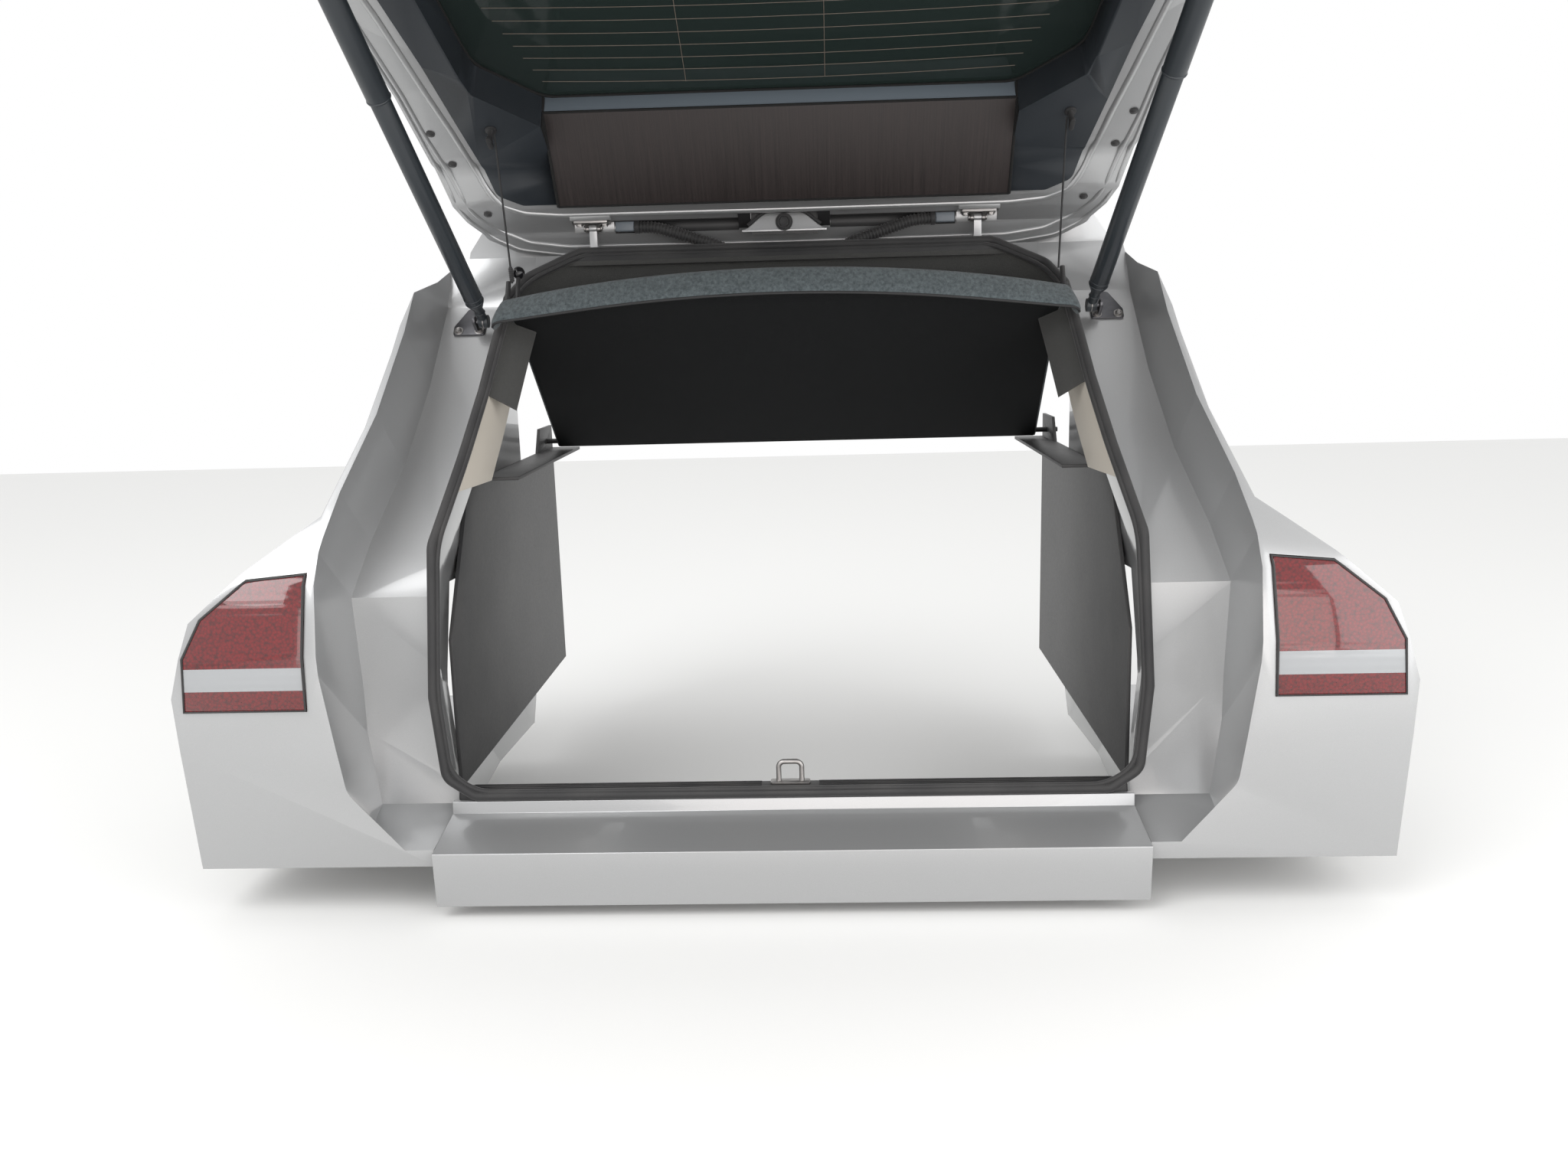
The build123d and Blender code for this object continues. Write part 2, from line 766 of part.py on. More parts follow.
# gate: inner panel with its window, hinge pads, harness recess and centre boss
PAD_W = 70.0
BOSS_S = 6.0
BOSS_D = 20.0
NICHE_HALF_W = 58.0
RECESS_R = 17.0
RECESS_X = (78.0, 300.0)
HEADER_TRIM_X = 377.6
TRIM_SEAM = 0.8
LATCH_HALF_W = 40.0
with BuildPart() as tailgate_inner:
    side_band(GATE_SIDE, INNER_SKIN + list(reversed(inset(OUTER_SKIN, SKIN + SEAT_GAP))))
    face_prism(face_outline(GATE_FACE, GATE_EDGE, OUTLINE_R, -SEAT_GAP), Mode.INTERSECT)
    face_prism(face_outline(GATE_FACE, WINDOW, OUTLINE_R, APERTURE_GROW), Mode.SUBTRACT)
    # ledge that the glass is bonded to
    glass_plane = GATE_FACE.offset(GLASS_N - SEAT_GAP)
    extrude(
        face_outline(glass_plane, WINDOW, OUTLINE_R, GLASS_GROW + 3),
        amount=60,
        mode=Mode.SUBTRACT,
    )
    # room behind the header trim
    side_band(
        GATE_SIDE,
        [(100, -94.9), (200, -138.3), (200, -170), (100, -170)],
        -HEADER_TRIM_X - TRIM_SEAM,
        HEADER_TRIM_X + TRIM_SEAM,
        Mode.SUBTRACT,
    )
    for side in (-1, 1):
        # harness recess round the hinge line
        with BuildSketch(Plane.YZ.offset(min(side * RECESS_X[0], side * RECESS_X[1]))):
            with Locations((HINGE_Y, 0)):
                Circle(RECESS_R)
        extrude(amount=RECESS_X[1] - RECESS_X[0], mode=Mode.SUBTRACT)
        # seat for the hinge leaf, drawn raised
        low = side * HINGE_X - PAD_W / 2
        side_band(
            BODY_SIDE,
            [(-13, -20), (-13, LEAF_Z + LEAF_T), (60, LEAF_Z + LEAF_T), (60, -20)],
            low,
            low + PAD_W,
            Mode.SUBTRACT,
        )
        side_band(
            BODY_SIDE,
            [
                (12, LEAF_Z + LEAF_T),
                (29, LEAF_Z + LEAF_T),
                (34, 22),
                (34, 40),
                (12, 40),
            ],
            low,
            low + PAD_W,
        )
    # niche with the centre boss for the wiring plug, drawn raised
    side_band(
        BODY_SIDE,
        [(BOSS_S, -20), (BOSS_S, 19), (34, 19), (60, -20)],
        -NICHE_HALF_W,
        NICHE_HALF_W,
        Mode.SUBTRACT,
    )
    with BuildSketch(Plane.XZ.offset(BOSS_S - BOSS_D - HINGE_Y)) as boss_face:
        with BuildLine():
            Polyline((-76, -13), (-46, 4), (-30, 19), (30, 19), (46, 4), (76, -13), close=True)
        make_face()
        fillet(boss_face.vertices().group_by(Axis.Z)[-1], 8)
    extrude(amount=BOSS_D)
tailgate_inner.part.label = "tailgate_inner"
export_step(tailgate_inner.part, "parts/tailgate_inner.step")

with BuildPart() as tailgate_outer:
    side_band(GATE_SIDE, OUTER_SKIN + list(reversed(inset(OUTER_SKIN, SKIN))))
    face_prism(face_outline(GATE_FACE, GATE_EDGE, OUTLINE_R), Mode.INTERSECT)
    face_prism(face_outline(GATE_FACE, WINDOW, OUTLINE_R, GLASS_GROW + 3), Mode.SUBTRACT)
tailgate_outer.part.label = "tailgate_outer"
export_step(tailgate_outer.part, "parts/tailgate_outer.step")

with BuildPart() as rear_glass:
    glass = face_outline(GATE_FACE.offset(GLASS_N), WINDOW, OUTLINE_R, GLASS_GROW)
    extrude(glass, amount=GLASS_T)
rear_glass.part.label = "rear_glass"
export_step(rear_glass.part, "parts/rear_glass.step")

# spoiler over the header
SPOILER_HALF_W = 520.0
LAMP_S = 286.0
LAMP_Z = (9.5, 15.0)
LAMP_HALF_W = 150.0
with BuildPart() as spoiler:
    side_band(
        GATE_SIDE,
        [
            (-8, 39),
            (60, 45),
            (130, 47),
            (230, 36),
            (300, 18),
            (303, 10),
            (296, 6),
            (215, -22),
            (185, -60),
            (OUTER_SKIN[2][0] + 1, OUTER_SKIN[2][1] + 1),
            (OUTER_SKIN[1][0] + 0.3, OUTER_SKIN[1][1] + 0.5),
        ],
        -SPOILER_HALF_W,
        SPOILER_HALF_W,
    )
    face_prism(
        face_outline(
            GATE_FACE,
            [(0, 50), (430, 50), (500, 10), (520, -80), (545, -190), (545, -260), (0, -260)],
            OUTLINE_R,
        ),
        Mode.INTERSECT,
    )
    side_band(
        GATE_SIDE,
        [
            (LAMP_S - SEAT_GAP, LAMP_Z[0] - SEAT_GAP),
            (LAMP_S + 60, LAMP_Z[0] - SEAT_GAP),
            (LAMP_S + 60, LAMP_Z[1] + SEAT_GAP),
            (LAMP_S - SEAT_GAP, LAMP_Z[1] + SEAT_GAP),
        ],
        -LAMP_HALF_W - SEAT_GAP,
        LAMP_HALF_W + SEAT_GAP,
        Mode.SUBTRACT,
    )
spoiler.part.label = "spoiler"
export_step(spoiler.part, "parts/spoiler.step")

with BuildPart() as stop_lamp:
    side_band(
        GATE_SIDE,
        [(LAMP_S, LAMP_Z[0]), (301.8, LAMP_Z[0]), (299.9, LAMP_Z[1]), (LAMP_S, LAMP_Z[1])],
        -LAMP_HALF_W,
        LAMP_HALF_W,
    )
stop_lamp.part.label = "stop_lamp"
export_step(stop_lamp.part, "parts/stop_lamp.step")

# header trim: a hollow cover under the gate's top edge
HEADER_TRIM = [(51, -56.2), (41, -75), (189, -140)]
HEADER_TRIM_BACK = [(189.9, -134.4), (45.6, -71.8), (56, -58)]
with BuildPart() as trim_header:
    side_band(
        GATE_SIDE,
        HEADER_TRIM
        + [tn(-229, GLASS_N - SEAT_GAP), tn(-229 + TRIM_WALL, GLASS_N - SEAT_GAP)]
        + HEADER_TRIM_BACK,
        -HEADER_TRIM_X,
        HEADER_TRIM_X,
    )
    for low in (-HEADER_TRIM_X, HEADER_TRIM_X - TRIM_WALL):
        side_band(
            GATE_SIDE,
            HEADER_TRIM + [HEADER_TRIM_BACK[0], (110, -99.7), (109.6, -78.3)],
            low,
            low + TRIM_WALL,
        )
trim_header.part.label = "trim_header"
export_step(trim_header.part, "parts/trim_header.step")

# side trims round the window, each with the lip that reaches the glass
SIDE_TRIM_OVER = INNER_SKIN[3:6]
with BuildPart() as trim_side_right:
    side_band(
        GATE_SIDE,
        inset(SIDE_TRIM_OVER, SEAT_GAP)
        + list(reversed(inset(SIDE_TRIM_OVER, INNER_N - TRIM_N))),
        0,
        REACH,
    )
    face_prism(face_outline(GATE_FACE, TRIM_EDGE, OUTLINE_R, 0, WINDOW, 0), Mode.INTERSECT)
    lip = face_outline(GATE_FACE.offset(TRIM_N), WINDOW, OUTLINE_R, TRIM_WALL, WINDOW, 0)
    extrude(lip, amount=GLASS_N - SEAT_GAP - TRIM_N)
    seam_x = HEADER_TRIM_X + TRIM_SEAM
    face_prism(
        face_outline(GATE_FACE, [(0, 200), (seam_x, 200), (seam_x, -900), (0, -900)], 0),
        Mode.SUBTRACT,
    )
    split(bisect_by=Plane.YZ, keep=Keep.TOP)
trim_side_right.part.label = "trim_side_right"
export_step(trim_side_right.part, "parts/trim_side_right.step")

with BuildPart() as trim_side_left:
    add(trim_side_right.part.mirror(Plane.YZ))
trim_side_left.part.label = "trim_side_left"
export_step(trim_side_left.part, "parts/trim_side_left.step")

# latch: a hooded block over the striker
LATCH_FRONT = STRIKER_S - 12
LATCH_BACK_S = 457.9
LATCH_TOP = -812.0
LATCH_LOW = SILL_TRIM_Z + 8
NOTCH_HALF_W = STRIKER_W / 2 + STRIKER_R + 6
NOTCH_TOP = SILL_TRIM_Z + STRIKER_H + STRIKER_R + 8
with BuildPart() as latch:
    side_band(
        GATE_SIDE,
        [
            (LATCH_FRONT + 8, LATCH_TOP),
            (LATCH_BACK_S, LATCH_TOP),
            (LATCH_BACK_S + 3, LATCH_LOW),
            (LATCH_FRONT, LATCH_LOW),
            (LATCH_FRONT, LATCH_TOP - 8),
        ],
        -LATCH_HALF_W,
        LATCH_HALF_W,
    )
    side_band(
        GATE_SIDE,
        [
            (LATCH_FRONT - 10, NOTCH_TOP),
            (STRIKER_S + 12, NOTCH_TOP),
            (STRIKER_S + 12, LATCH_LOW - 10),
            (LATCH_FRONT - 10, LATCH_LOW - 10),
        ],
        -NOTCH_HALF_W,
        NOTCH_HALF_W,
        Mode.SUBTRACT,
    )
latch.part.label = "latch"
export_step(latch.part, "parts/latch.step")

# lower trim, with a hole for the latch
LOWER_TRIM_T = 10.0
with BuildPart() as trim_lower:
    side_band(
        GATE_SIDE,
        inset(INNER_SKIN[4:9], SEAT_GAP) + list(reversed(inset(INNER_SKIN[4:9], LOWER_TRIM_T))),
    )
    face_prism(
        face_outline(
            GATE_FACE,
            [
                (0, -645),
                (HEADER_TRIM_X, -645),
                (HEADER_TRIM_X, -668),
                (505, -668),
                (515, -760),
                (505, -900),
                (470, -945),
                (0, -945),
            ],
            0,
        ),
        Mode.INTERSECT,
    )
    with BuildSketch(GATE_FACE.offset(TRIM_N + 1)):
        with Locations((0, -645 - TRIM_WALL / 2)):
            Rectangle(2 * HEADER_TRIM_X, TRIM_WALL)
    extrude(amount=GLASS_N - SEAT_GAP - TRIM_N - 1)
    side_band(
        GATE_SIDE,
        [
            (LATCH_FRONT, LATCH_TOP + SEAT_GAP),
            (REACH, LATCH_TOP + SEAT_GAP),
            (REACH, LATCH_LOW - SEAT_GAP),
            (LATCH_FRONT, LATCH_LOW - SEAT_GAP),
        ],
        -LATCH_HALF_W - SEAT_GAP,
        LATCH_HALF_W + SEAT_GAP,
        Mode.SUBTRACT,
    )
trim_lower.part.label = "trim_lower"
export_step(trim_lower.part, "parts/trim_lower.step")

# studs that the shelf's cords hook on
PEG_R = 4.5
PEG_GAP = 0.4
PEG_X = CORD_X + CORD_R + PEG_GAP + PEG_R
STUD_T = -228.0
with BuildPart() as cord_studs:
    for side in (-1, 1):
        with BuildSketch(GATE_FACE.offset(TRIM_N - SEAT_GAP - 3)):
            with Locations((side * PEG_X, STUD_T)):
                Circle(9)
        extrude(amount=3)
        with BuildSketch(GATE_FACE.offset(2)):
            with Locations((side * PEG_X, STUD_T)):
                Circle(PEG_R)
        extrude(amount=22)
        with BuildSketch(GATE_FACE.offset(-3)):
            with Locations((side * PEG_X, STUD_T)):
                SlotOverall(24, 8, rotation=90)
        extrude(amount=6)
cord_studs.part.label = "cord_studs"
export_step(cord_studs.part, "parts/cord_studs.step")

# plugs in the gate's flange, with the centre wiring grommet
PLUG_R = 7.0
PLUG_T = 2.0
PLUGS = [
    # x, t, n of the face
    (509, -48, 0.7),
    (547, -139, INNER_N - SEAT_GAP),
    (561, -214, INNER_N - SEAT_GAP),
]
GROMMET_R = 15.0
with BuildPart() as flange_plugs:
    for x, t, n in PLUGS:
        with BuildSketch(GATE_FACE.offset(n - PLUG_T)):
            with Locations((x, t), (-x, t)):
                Circle(PLUG_R)
        extrude(amount=PLUG_T)
    with BuildSketch(Plane.XZ.offset(BOSS_S + SEAT_GAP - HINGE_Y)):
        with Locations((0, 1)):
            Circle(GROMMET_R)
    extrude(amount=3)
    with BuildSketch(Plane.XZ.offset(BOSS_S + SEAT_GAP + 3 - HINGE_Y)):
        with Locations((0, 1)):
            Circle(GROMMET_R - 4)
    extrude(amount=3)
flange_plugs.part.label = "flange_plugs"
export_step(flange_plugs.part, "parts/flange_plugs.step")

# wiring: a plug in each harness recess, and the gaiter from it to the roof end
HARNESS_X = (262.0, 295.0)
GAITER_R = 11.0
GAITER_FOOT = (98.0, -4.0)
with BuildPart() as harness_plugs:
    for side in (-1, 1):
        low = min(side * HARNESS_X[0], side * HARNESS_X[1])
        side_band(
            BODY_SIDE,
            [(-9, -7), (9, -7), (9, 13.9), (-9, 13.9)],
            low,
            low + HARNESS_X[1] - HARNESS_X[0],
        )
harness_plugs.part.label = "harness_plugs"
export_step(harness_plugs.part, "parts/harness_plugs.step")

with BuildPart() as harness_gaiters:
    with BuildLine() as gaiter_line:
        FilletPolyline(
            place(HARNESS_X[0] - SEAT_GAP, 0, 0),
            place(190, 0, 0),
            place(*GAITER_FOOT, -16),
            place(GAITER_FOOT[0], GAITER_FOOT[1], PLATFORM_Z + SEAT_GAP),
            radius=19,
        )
    with BuildSketch(Plane(gaiter_line.line @ 0, z_dir=gaiter_line.line % 0)):
        Circle(GAITER_R)
    sweep(path=gaiter_line.line)
    mirror(about=Plane.YZ)
harness_gaiters.part.label = "harness_gaiters"
export_step(harness_gaiters.part, "parts/harness_gaiters.step")

# wiper on the glass: hub, arm and blade
WIPER_T = -655.0
WIPER_L = 330.0
GLASS_TOP_N = GLASS_N + GLASS_T
with BuildPart() as wiper:
    with BuildSketch(GATE_FACE.offset(GLASS_TOP_N + SEAT_GAP)):
        with Locations((0, WIPER_T)):
            Circle(16)
    extrude(amount=16)
    with BuildSketch(GATE_FACE.offset(GLASS_TOP_N + 8)):
        with BuildLine():
            Polyline(
                (0, WIPER_T - 9),
                (WIPER_L, WIPER_T + 13),
                (WIPER_L, WIPER_T + 23),
                (0, WIPER_T + 9),
                close=True,
            )
        make_face()
    extrude(amount=7)
    with BuildSketch(GATE_FACE.offset(GLASS_TOP_N + SEAT_GAP)):
        with Locations((WIPER_L - 120, WIPER_T + 18)):
            SlotOverall(320, 8)
    extrude(amount=9)
wiper.part.label = "wiper"
export_step(wiper.part, "parts/wiper.step")

# garnish bar with the outer handle, under the window
HANDLE_HALF_W = 330.0
with BuildPart() as handle_bar:
    side_band(
        GATE_SIDE,
        [(560.4, -583), (574, -588), (577, -606), (569, -624), (567, -621)],
        -HANDLE_HALF_W,
        HANDLE_HALF_W,
    )
handle_bar.part.label = "handle_bar"
export_step(handle_bar.part, "parts/handle_bar.step")

# strut brackets on the gutter floor: foot, lug, stud and ball
strut_low = place(*STRUT_LOW)
strut_high = place(*STRUT_HIGH)
BALL_PLANE = Plane(origin=strut_low, x_dir=(1, 0, 0), z_dir=(0, -1, 0))
STUD_R = 3.2
LUG_X = (527.0, 532.0)
BRACKET_T = 4.0
BRACKET_FACE = [(571, -176), (571, -194), (517, -194), (517, -168), (538, -135), (550, -139)]
with BuildPart() as strut_bracket_right:
    with BuildSketch(BODY_FACE.offset(GUTTER_N + SEAT_GAP)) as bracket_face:
        with BuildLine():
            Polyline(*BRACKET_FACE, close=True)
        make_face()
        fillet(bracket_face.vertices(), 4)
    extrude(amount=BRACKET_T)
    with BuildSketch(Plane.YZ.offset(LUG_X[0])):
        with BuildLine():
            Polyline(
                *[
                    (HINGE_Y - s, z)
                    for s, z in (
                        tn(-170, GUTTER_N + 1),
                        tn(-190, GUTTER_N + 1),
                        tn(-190, -17),
                        tn(-186, -13),
                        tn(-180, -13),
                        tn(-175, -17),
                    )
                ],
                close=True,
            )
        make_face()
    extrude(amount=LUG_X[1] - LUG_X[0])
    # ball and stud
    with BuildSketch(BALL_PLANE):
        with BuildLine():
            neck = math.sqrt(BALL_R**2 - STUD_R**2)
            ThreePointArc((-BALL_R, 0), (0, BALL_R), (neck, STUD_R))
            Polyline(
                (neck, STUD_R),
                (LUG_X[0] - STRUT_LOW[0] + 1, STUD_R),
                (LUG_X[0] - STRUT_LOW[0] + 1, 0),
                (-BALL_R, 0),
            )
        make_face()
    revolve(axis=Axis(strut_low, (1, 0, 0)))
strut_bracket_right.part.label = "strut_bracket_right"
export_step(strut_bracket_right.part, "parts/strut_bracket_right.step")

with BuildPart() as strut_bracket_left:
    add(strut_bracket_right.part.mirror(Plane.YZ))
strut_bracket_left.part.label = "strut_bracket_left"
export_step(strut_bracket_left.part, "parts/strut_bracket_left.step")

# struts: tube from the lower ball, sleeve to the gate's stud
STRUT_PLANE = Plane(origin=strut_low, z_dir=strut_high - strut_low)
STRUT_L = (strut_high - strut_low).length
NECK_R = 8.0
NECK_L = 30.0
CONE_L = 15.0
BALL_GAP = 0.3
MOUTH_R = 9.2
with BuildPart() as strut_tube_right:
    with BuildSketch(STRUT_PLANE.offset(NECK_L + CONE_L)):
        Circle(STRUT_TUBE_R)
    extrude(amount=STRUT_TUBE_L - NECK_L - CONE_L)
    with BuildSketch(STRUT_PLANE.offset(NECK_L)):
        Circle(NECK_R)
    with BuildSketch(STRUT_PLANE.offset(NECK_L + CONE_L)):
        Circle(STRUT_TUBE_R)
    loft()
    with BuildSketch(STRUT_PLANE):
        Circle(NECK_R)
    extrude(amount=NECK_L)
    with BuildSketch(Plane.YZ.offset(STRUT_LOW[0] - SOCKET_W / 2)):
        with Locations((strut_low.Y, strut_low.Z)):
            Circle(SOCKET_R)
    extrude(amount=SOCKET_W)
    # cavity for the ball, with its mouth
    with BuildSketch(BALL_PLANE):
        with BuildLine():
            cavity_r = BALL_R + BALL_GAP
            lip_x = 0.57 * cavity_r
            lip_r = math.sqrt(cavity_r**2 - lip_x**2)
            ThreePointArc((-cavity_r, 0), (0, cavity_r), (lip_x, lip_r))
            Polyline(
                (lip_x, lip_r),
                (SOCKET_W / 2 + 1, MOUTH_R),
                (SOCKET_W / 2 + 1, 0),
                (-cavity_r, 0),
            )
        make_face()
    revolve(axis=Axis(strut_low, (1, 0, 0)), mode=Mode.SUBTRACT)
strut_tube_right.part.label = "strut_tube_right"
export_step(strut_tube_right.part, "parts/strut_tube_right.step")

with BuildPart() as strut_tube_left:
    add(strut_tube_right.part.mirror(Plane.YZ))
strut_tube_left.part.label = "strut_tube_left"
export_step(strut_tube_left.part, "parts/strut_tube_left.step")

BORE_L = 233.0
CAP_L = 14.0
EYE_GAP = 0.5
EYE_W = 9.0
EYE_PLANE = Plane(origin=strut_high, x_dir=(1, 0, 0), z_dir=(0, -1, 0))
STUD_END = STRUT_HIGH[0] - SOCKET_R - EYE_GAP
with BuildPart() as strut_sleeve_right:
    with BuildSketch(STRUT_PLANE.offset(STRUT_SEAM)):
        Circle(STRUT_SLEEVE_R)
    extrude(amount=BORE_L)
    with BuildSketch(STRUT_PLANE.offset(STRUT_SEAM + BORE_L)):
        Circle(STRUT_SLEEVE_R)
    with BuildSketch(STRUT_PLANE.offset(STRUT_SEAM + BORE_L + CAP_L)):
        Circle(NECK_R)
    loft()
    with BuildSketch(STRUT_PLANE.offset(STRUT_SEAM + BORE_L + CAP_L)):
        Circle(NECK_R)
    extrude(amount=STRUT_L - STRUT_SEAM - BORE_L - CAP_L)
    with BuildSketch(STRUT_PLANE.offset(STRUT_SEAM)):
        Circle(STRUT_TUBE_R + STRUT_PLAY)
    extrude(amount=BORE_L, mode=Mode.SUBTRACT)
    # domed eye round the gate's stud
    with BuildSketch(EYE_PLANE):
        with BuildLine():
            ThreePointArc((-SOCKET_R, 0), (-SOCKET_R * 0.8, SOCKET_R * 0.6), (0, SOCKET_R))
            Polyline((0, SOCKET_R), (EYE_W, SOCKET_R), (EYE_W, 0), (-SOCKET_R, 0))
        make_face()
    revolve(axis=Axis(strut_high, (1, 0, 0)))
strut_sleeve_right.part.label = "strut_sleeve_right"
export_step(strut_sleeve_right.part, "parts/strut_sleeve_right.step")

with BuildPart() as strut_sleeve_left:
    add(strut_sleeve_right.part.mirror(Plane.YZ))
strut_sleeve_left.part.label = "strut_sleeve_left"
export_step(strut_sleeve_left.part, "parts/strut_sleeve_left.step")

# gate studs of the struts: foot on the lower panel, arm and stud, drawn shut
slope_open = math.radians(OPEN_ANGLE)
HIGH_SHUT = (
    STRUT_HIGH[1] * math.cos(slope_open) + STRUT_HIGH[2] * math.sin(slope_open),
    STRUT_HIGH[2] * math.cos(slope_open) - STRUT_HIGH[1] * math.sin(slope_open),
)
ARM_X = (556.0, 562.0)
FOOT_X = 582.0
FOOT_H = 35.0
foot_s = INNER_SKIN[6][0] + 0.1
with BuildPart() as strut_studs:
    for side in (-1, 1):
        low, high = sorted((side * ARM_X[0], side * ARM_X[1]))
        side_band(
            GATE_SIDE,
            [
                (foot_s - SEAT_GAP, HIGH_SHUT[1] + FOOT_H),
                (foot_s - SEAT_GAP, HIGH_SHUT[1] - FOOT_H),
                (HIGH_SHUT[0] + 6, HIGH_SHUT[1] - 9),
                (HIGH_SHUT[0] - 7, HIGH_SHUT[1] - 7),
                (HIGH_SHUT[0] - 7, HIGH_SHUT[1] + 7),
                (HIGH_SHUT[0] + 6, HIGH_SHUT[1] + 9),
            ],
            low,
            high,
        )
        low, high = sorted((side * ARM_X[0], side * FOOT_X))
        side_band(
            GATE_SIDE,
            [
                (foot_s - SEAT_GAP, HIGH_SHUT[1] + FOOT_H),
                (foot_s - SEAT_GAP, HIGH_SHUT[1] - FOOT_H),
                (foot_s - SEAT_GAP - BRACKET_T, HIGH_SHUT[1] - FOOT_H),
                (foot_s - SEAT_GAP - BRACKET_T, HIGH_SHUT[1] + FOOT_H),
            ],
            low,
            high,
        )
        start = min(side * ARM_X[1], side * STUD_END)
        with BuildSketch(Plane.YZ.offset(start)):
            with Locations((strut_high.Y, strut_high.Z)):
                Circle(STUD_R + 1)
        extrude(amount=STUD_END - ARM_X[1])
strut_studs.part.label = "strut_studs"
export_step(strut_studs.part, "parts/strut_studs.step")

# parcel shelf: board with a rim, pivot pins and cord posts, drawn raised
SHELF_CORNER_Y = SHELF_BOW - SHELF_L
SHELF_WAIST_Y = SHELF_CORNER_Y + 42
POST_Y = SHELF_CORNER_Y + 10
POST_H = 37.0
RIM_Y = POST_Y + 20


def shelf_outline(grow=0.0):
    """The board's outline in its own plane, grown by an amount."""
    with BuildSketch(mode=Mode.PRIVATE) as sketch:
        with BuildLine():
            Polyline(
                (SHELF_HALF_W, SHELF_CORNER_Y),
                (SHELF_WAIST_W, SHELF_WAIST_Y),
                (SHELF_FRONT_HALF_W, 0),
                (SHELF_FRONT_HALF_W, 10),
                (-SHELF_FRONT_HALF_W, 10),
                (-SHELF_FRONT_HALF_W, 0),
                (-SHELF_WAIST_W, SHELF_WAIST_Y),
                (-SHELF_HALF_W, SHELF_CORNER_Y),
            )
            ThreePointArc(
                (-SHELF_HALF_W, SHELF_CORNER_Y), (0, -SHELF_L), (SHELF_HALF_W, SHELF_CORNER_Y)
            )
        make_face()
        fillet(sketch.vertices().group_by(Axis.Y)[0], 18)
        if grow != 0:
            offset(amount=grow)
    return sketch.sketch_local


with BuildPart() as parcel_shelf:
    with BuildSketch(SHELF_PLANE):
        add(shelf_outline())
    extrude(amount=-SHELF_T)
    with BuildSketch(SHELF_PLANE):
        add(shelf_outline())
        add(shelf_outline(-SHELF_RIM_T), mode=Mode.SUBTRACT)
        with Locations((0, RIM_Y)):
            Rectangle(2 * REACH, REACH, align=(Align.CENTER, Align.MIN), mode=Mode.SUBTRACT)
    extrude(amount=-SHELF_RIM_H)
    for side in (-1, 1):
        with BuildSketch(SHELF_PLANE):
            with Locations((side * PEG_X, POST_Y)):
                Circle(PEG_R + 3)
        extrude(amount=10)
        with BuildSketch(SHELF_PLANE):
            with Locations((side * PEG_X, POST_Y)):
                Circle(PEG_R)
        extrude(amount=POST_H + 3)
        start = min(side * (SHELF_FRONT_HALF_W - 12), side * (SIDE_TRIM_X + SHELF_PIN_L))
        with BuildSketch(Plane.YZ.offset(start)):
            with Locations((HINGE_Y - SHELF_PIN[0], SHELF_PIN[1])):
                Circle(SHELF_PIN_R)
        extrude(amount=SIDE_TRIM_X + SHELF_PIN_L - SHELF_FRONT_HALF_W + 12)
parcel_shelf.part.label = "parcel_shelf"
export_step(parcel_shelf.part, "parts/parcel_shelf.step")

# shelf cords, from the studs on the gate to the posts on the shelf
cord_top = place(CORD_X, *CORD_TOP)
cord_end = SHELF_PLANE.from_local_coords((CORD_X, POST_Y, POST_H))
with BuildPart() as shelf_cord_right:
    with BuildSketch(Plane(origin=cord_top, z_dir=cord_end - cord_top)):
        Circle(CORD_R)
    extrude(amount=(cord_end - cord_top).length)
shelf_cord_right.part.label = "shelf_cord_right"
export_step(shelf_cord_right.part, "parts/shelf_cord_right.step")

with BuildPart() as shelf_cord_left:
    add(shelf_cord_right.part.mirror(Plane.YZ))
shelf_cord_left.part.label = "shelf_cord_left"
export_step(shelf_cord_left.part, "parts/shelf_cord_left.step")
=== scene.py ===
# raised tailgate and rear end of a compact crossover, dressed round its solid pieces
import json
import math

import bmesh
import bpy
from mathutils import Matrix, Vector


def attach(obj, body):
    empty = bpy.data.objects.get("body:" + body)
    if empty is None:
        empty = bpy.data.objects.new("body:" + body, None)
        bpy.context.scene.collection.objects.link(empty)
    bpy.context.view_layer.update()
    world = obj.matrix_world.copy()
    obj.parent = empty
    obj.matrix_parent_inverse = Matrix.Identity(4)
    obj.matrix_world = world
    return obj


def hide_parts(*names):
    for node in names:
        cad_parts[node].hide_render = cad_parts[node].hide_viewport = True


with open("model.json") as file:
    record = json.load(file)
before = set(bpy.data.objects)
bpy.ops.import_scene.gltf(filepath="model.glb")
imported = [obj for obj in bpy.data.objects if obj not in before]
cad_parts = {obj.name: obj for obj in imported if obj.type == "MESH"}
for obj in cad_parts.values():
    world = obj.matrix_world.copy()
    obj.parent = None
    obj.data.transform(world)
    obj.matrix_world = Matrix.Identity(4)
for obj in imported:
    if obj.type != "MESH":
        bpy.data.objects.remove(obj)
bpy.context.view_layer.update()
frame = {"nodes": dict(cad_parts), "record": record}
nodes = frame["nodes"]
bodyOf = {}
for bodyName, members in frame["record"]["behaviour"]["bodies"].items():
    for member in members:
        bodyOf[member] = bodyName


# three axes as the columns of a turn, moved to an origin
def frameOf(xAxis, yAxis, zAxis, origin):
    turn = Matrix((xAxis, yAxis, zAxis)).transposed().to_4x4()
    return Matrix.Translation(origin) @ turn


# camera of the photograph
cameraSettings = {
    "place": (0.070, -2.434, -0.175),
    "yaw": -2.20,
    "pitch": -11.74,
    "roll": -1.55,
    "lens": 29.0,
    "sensor": 36,
    "near": 0.01,
}


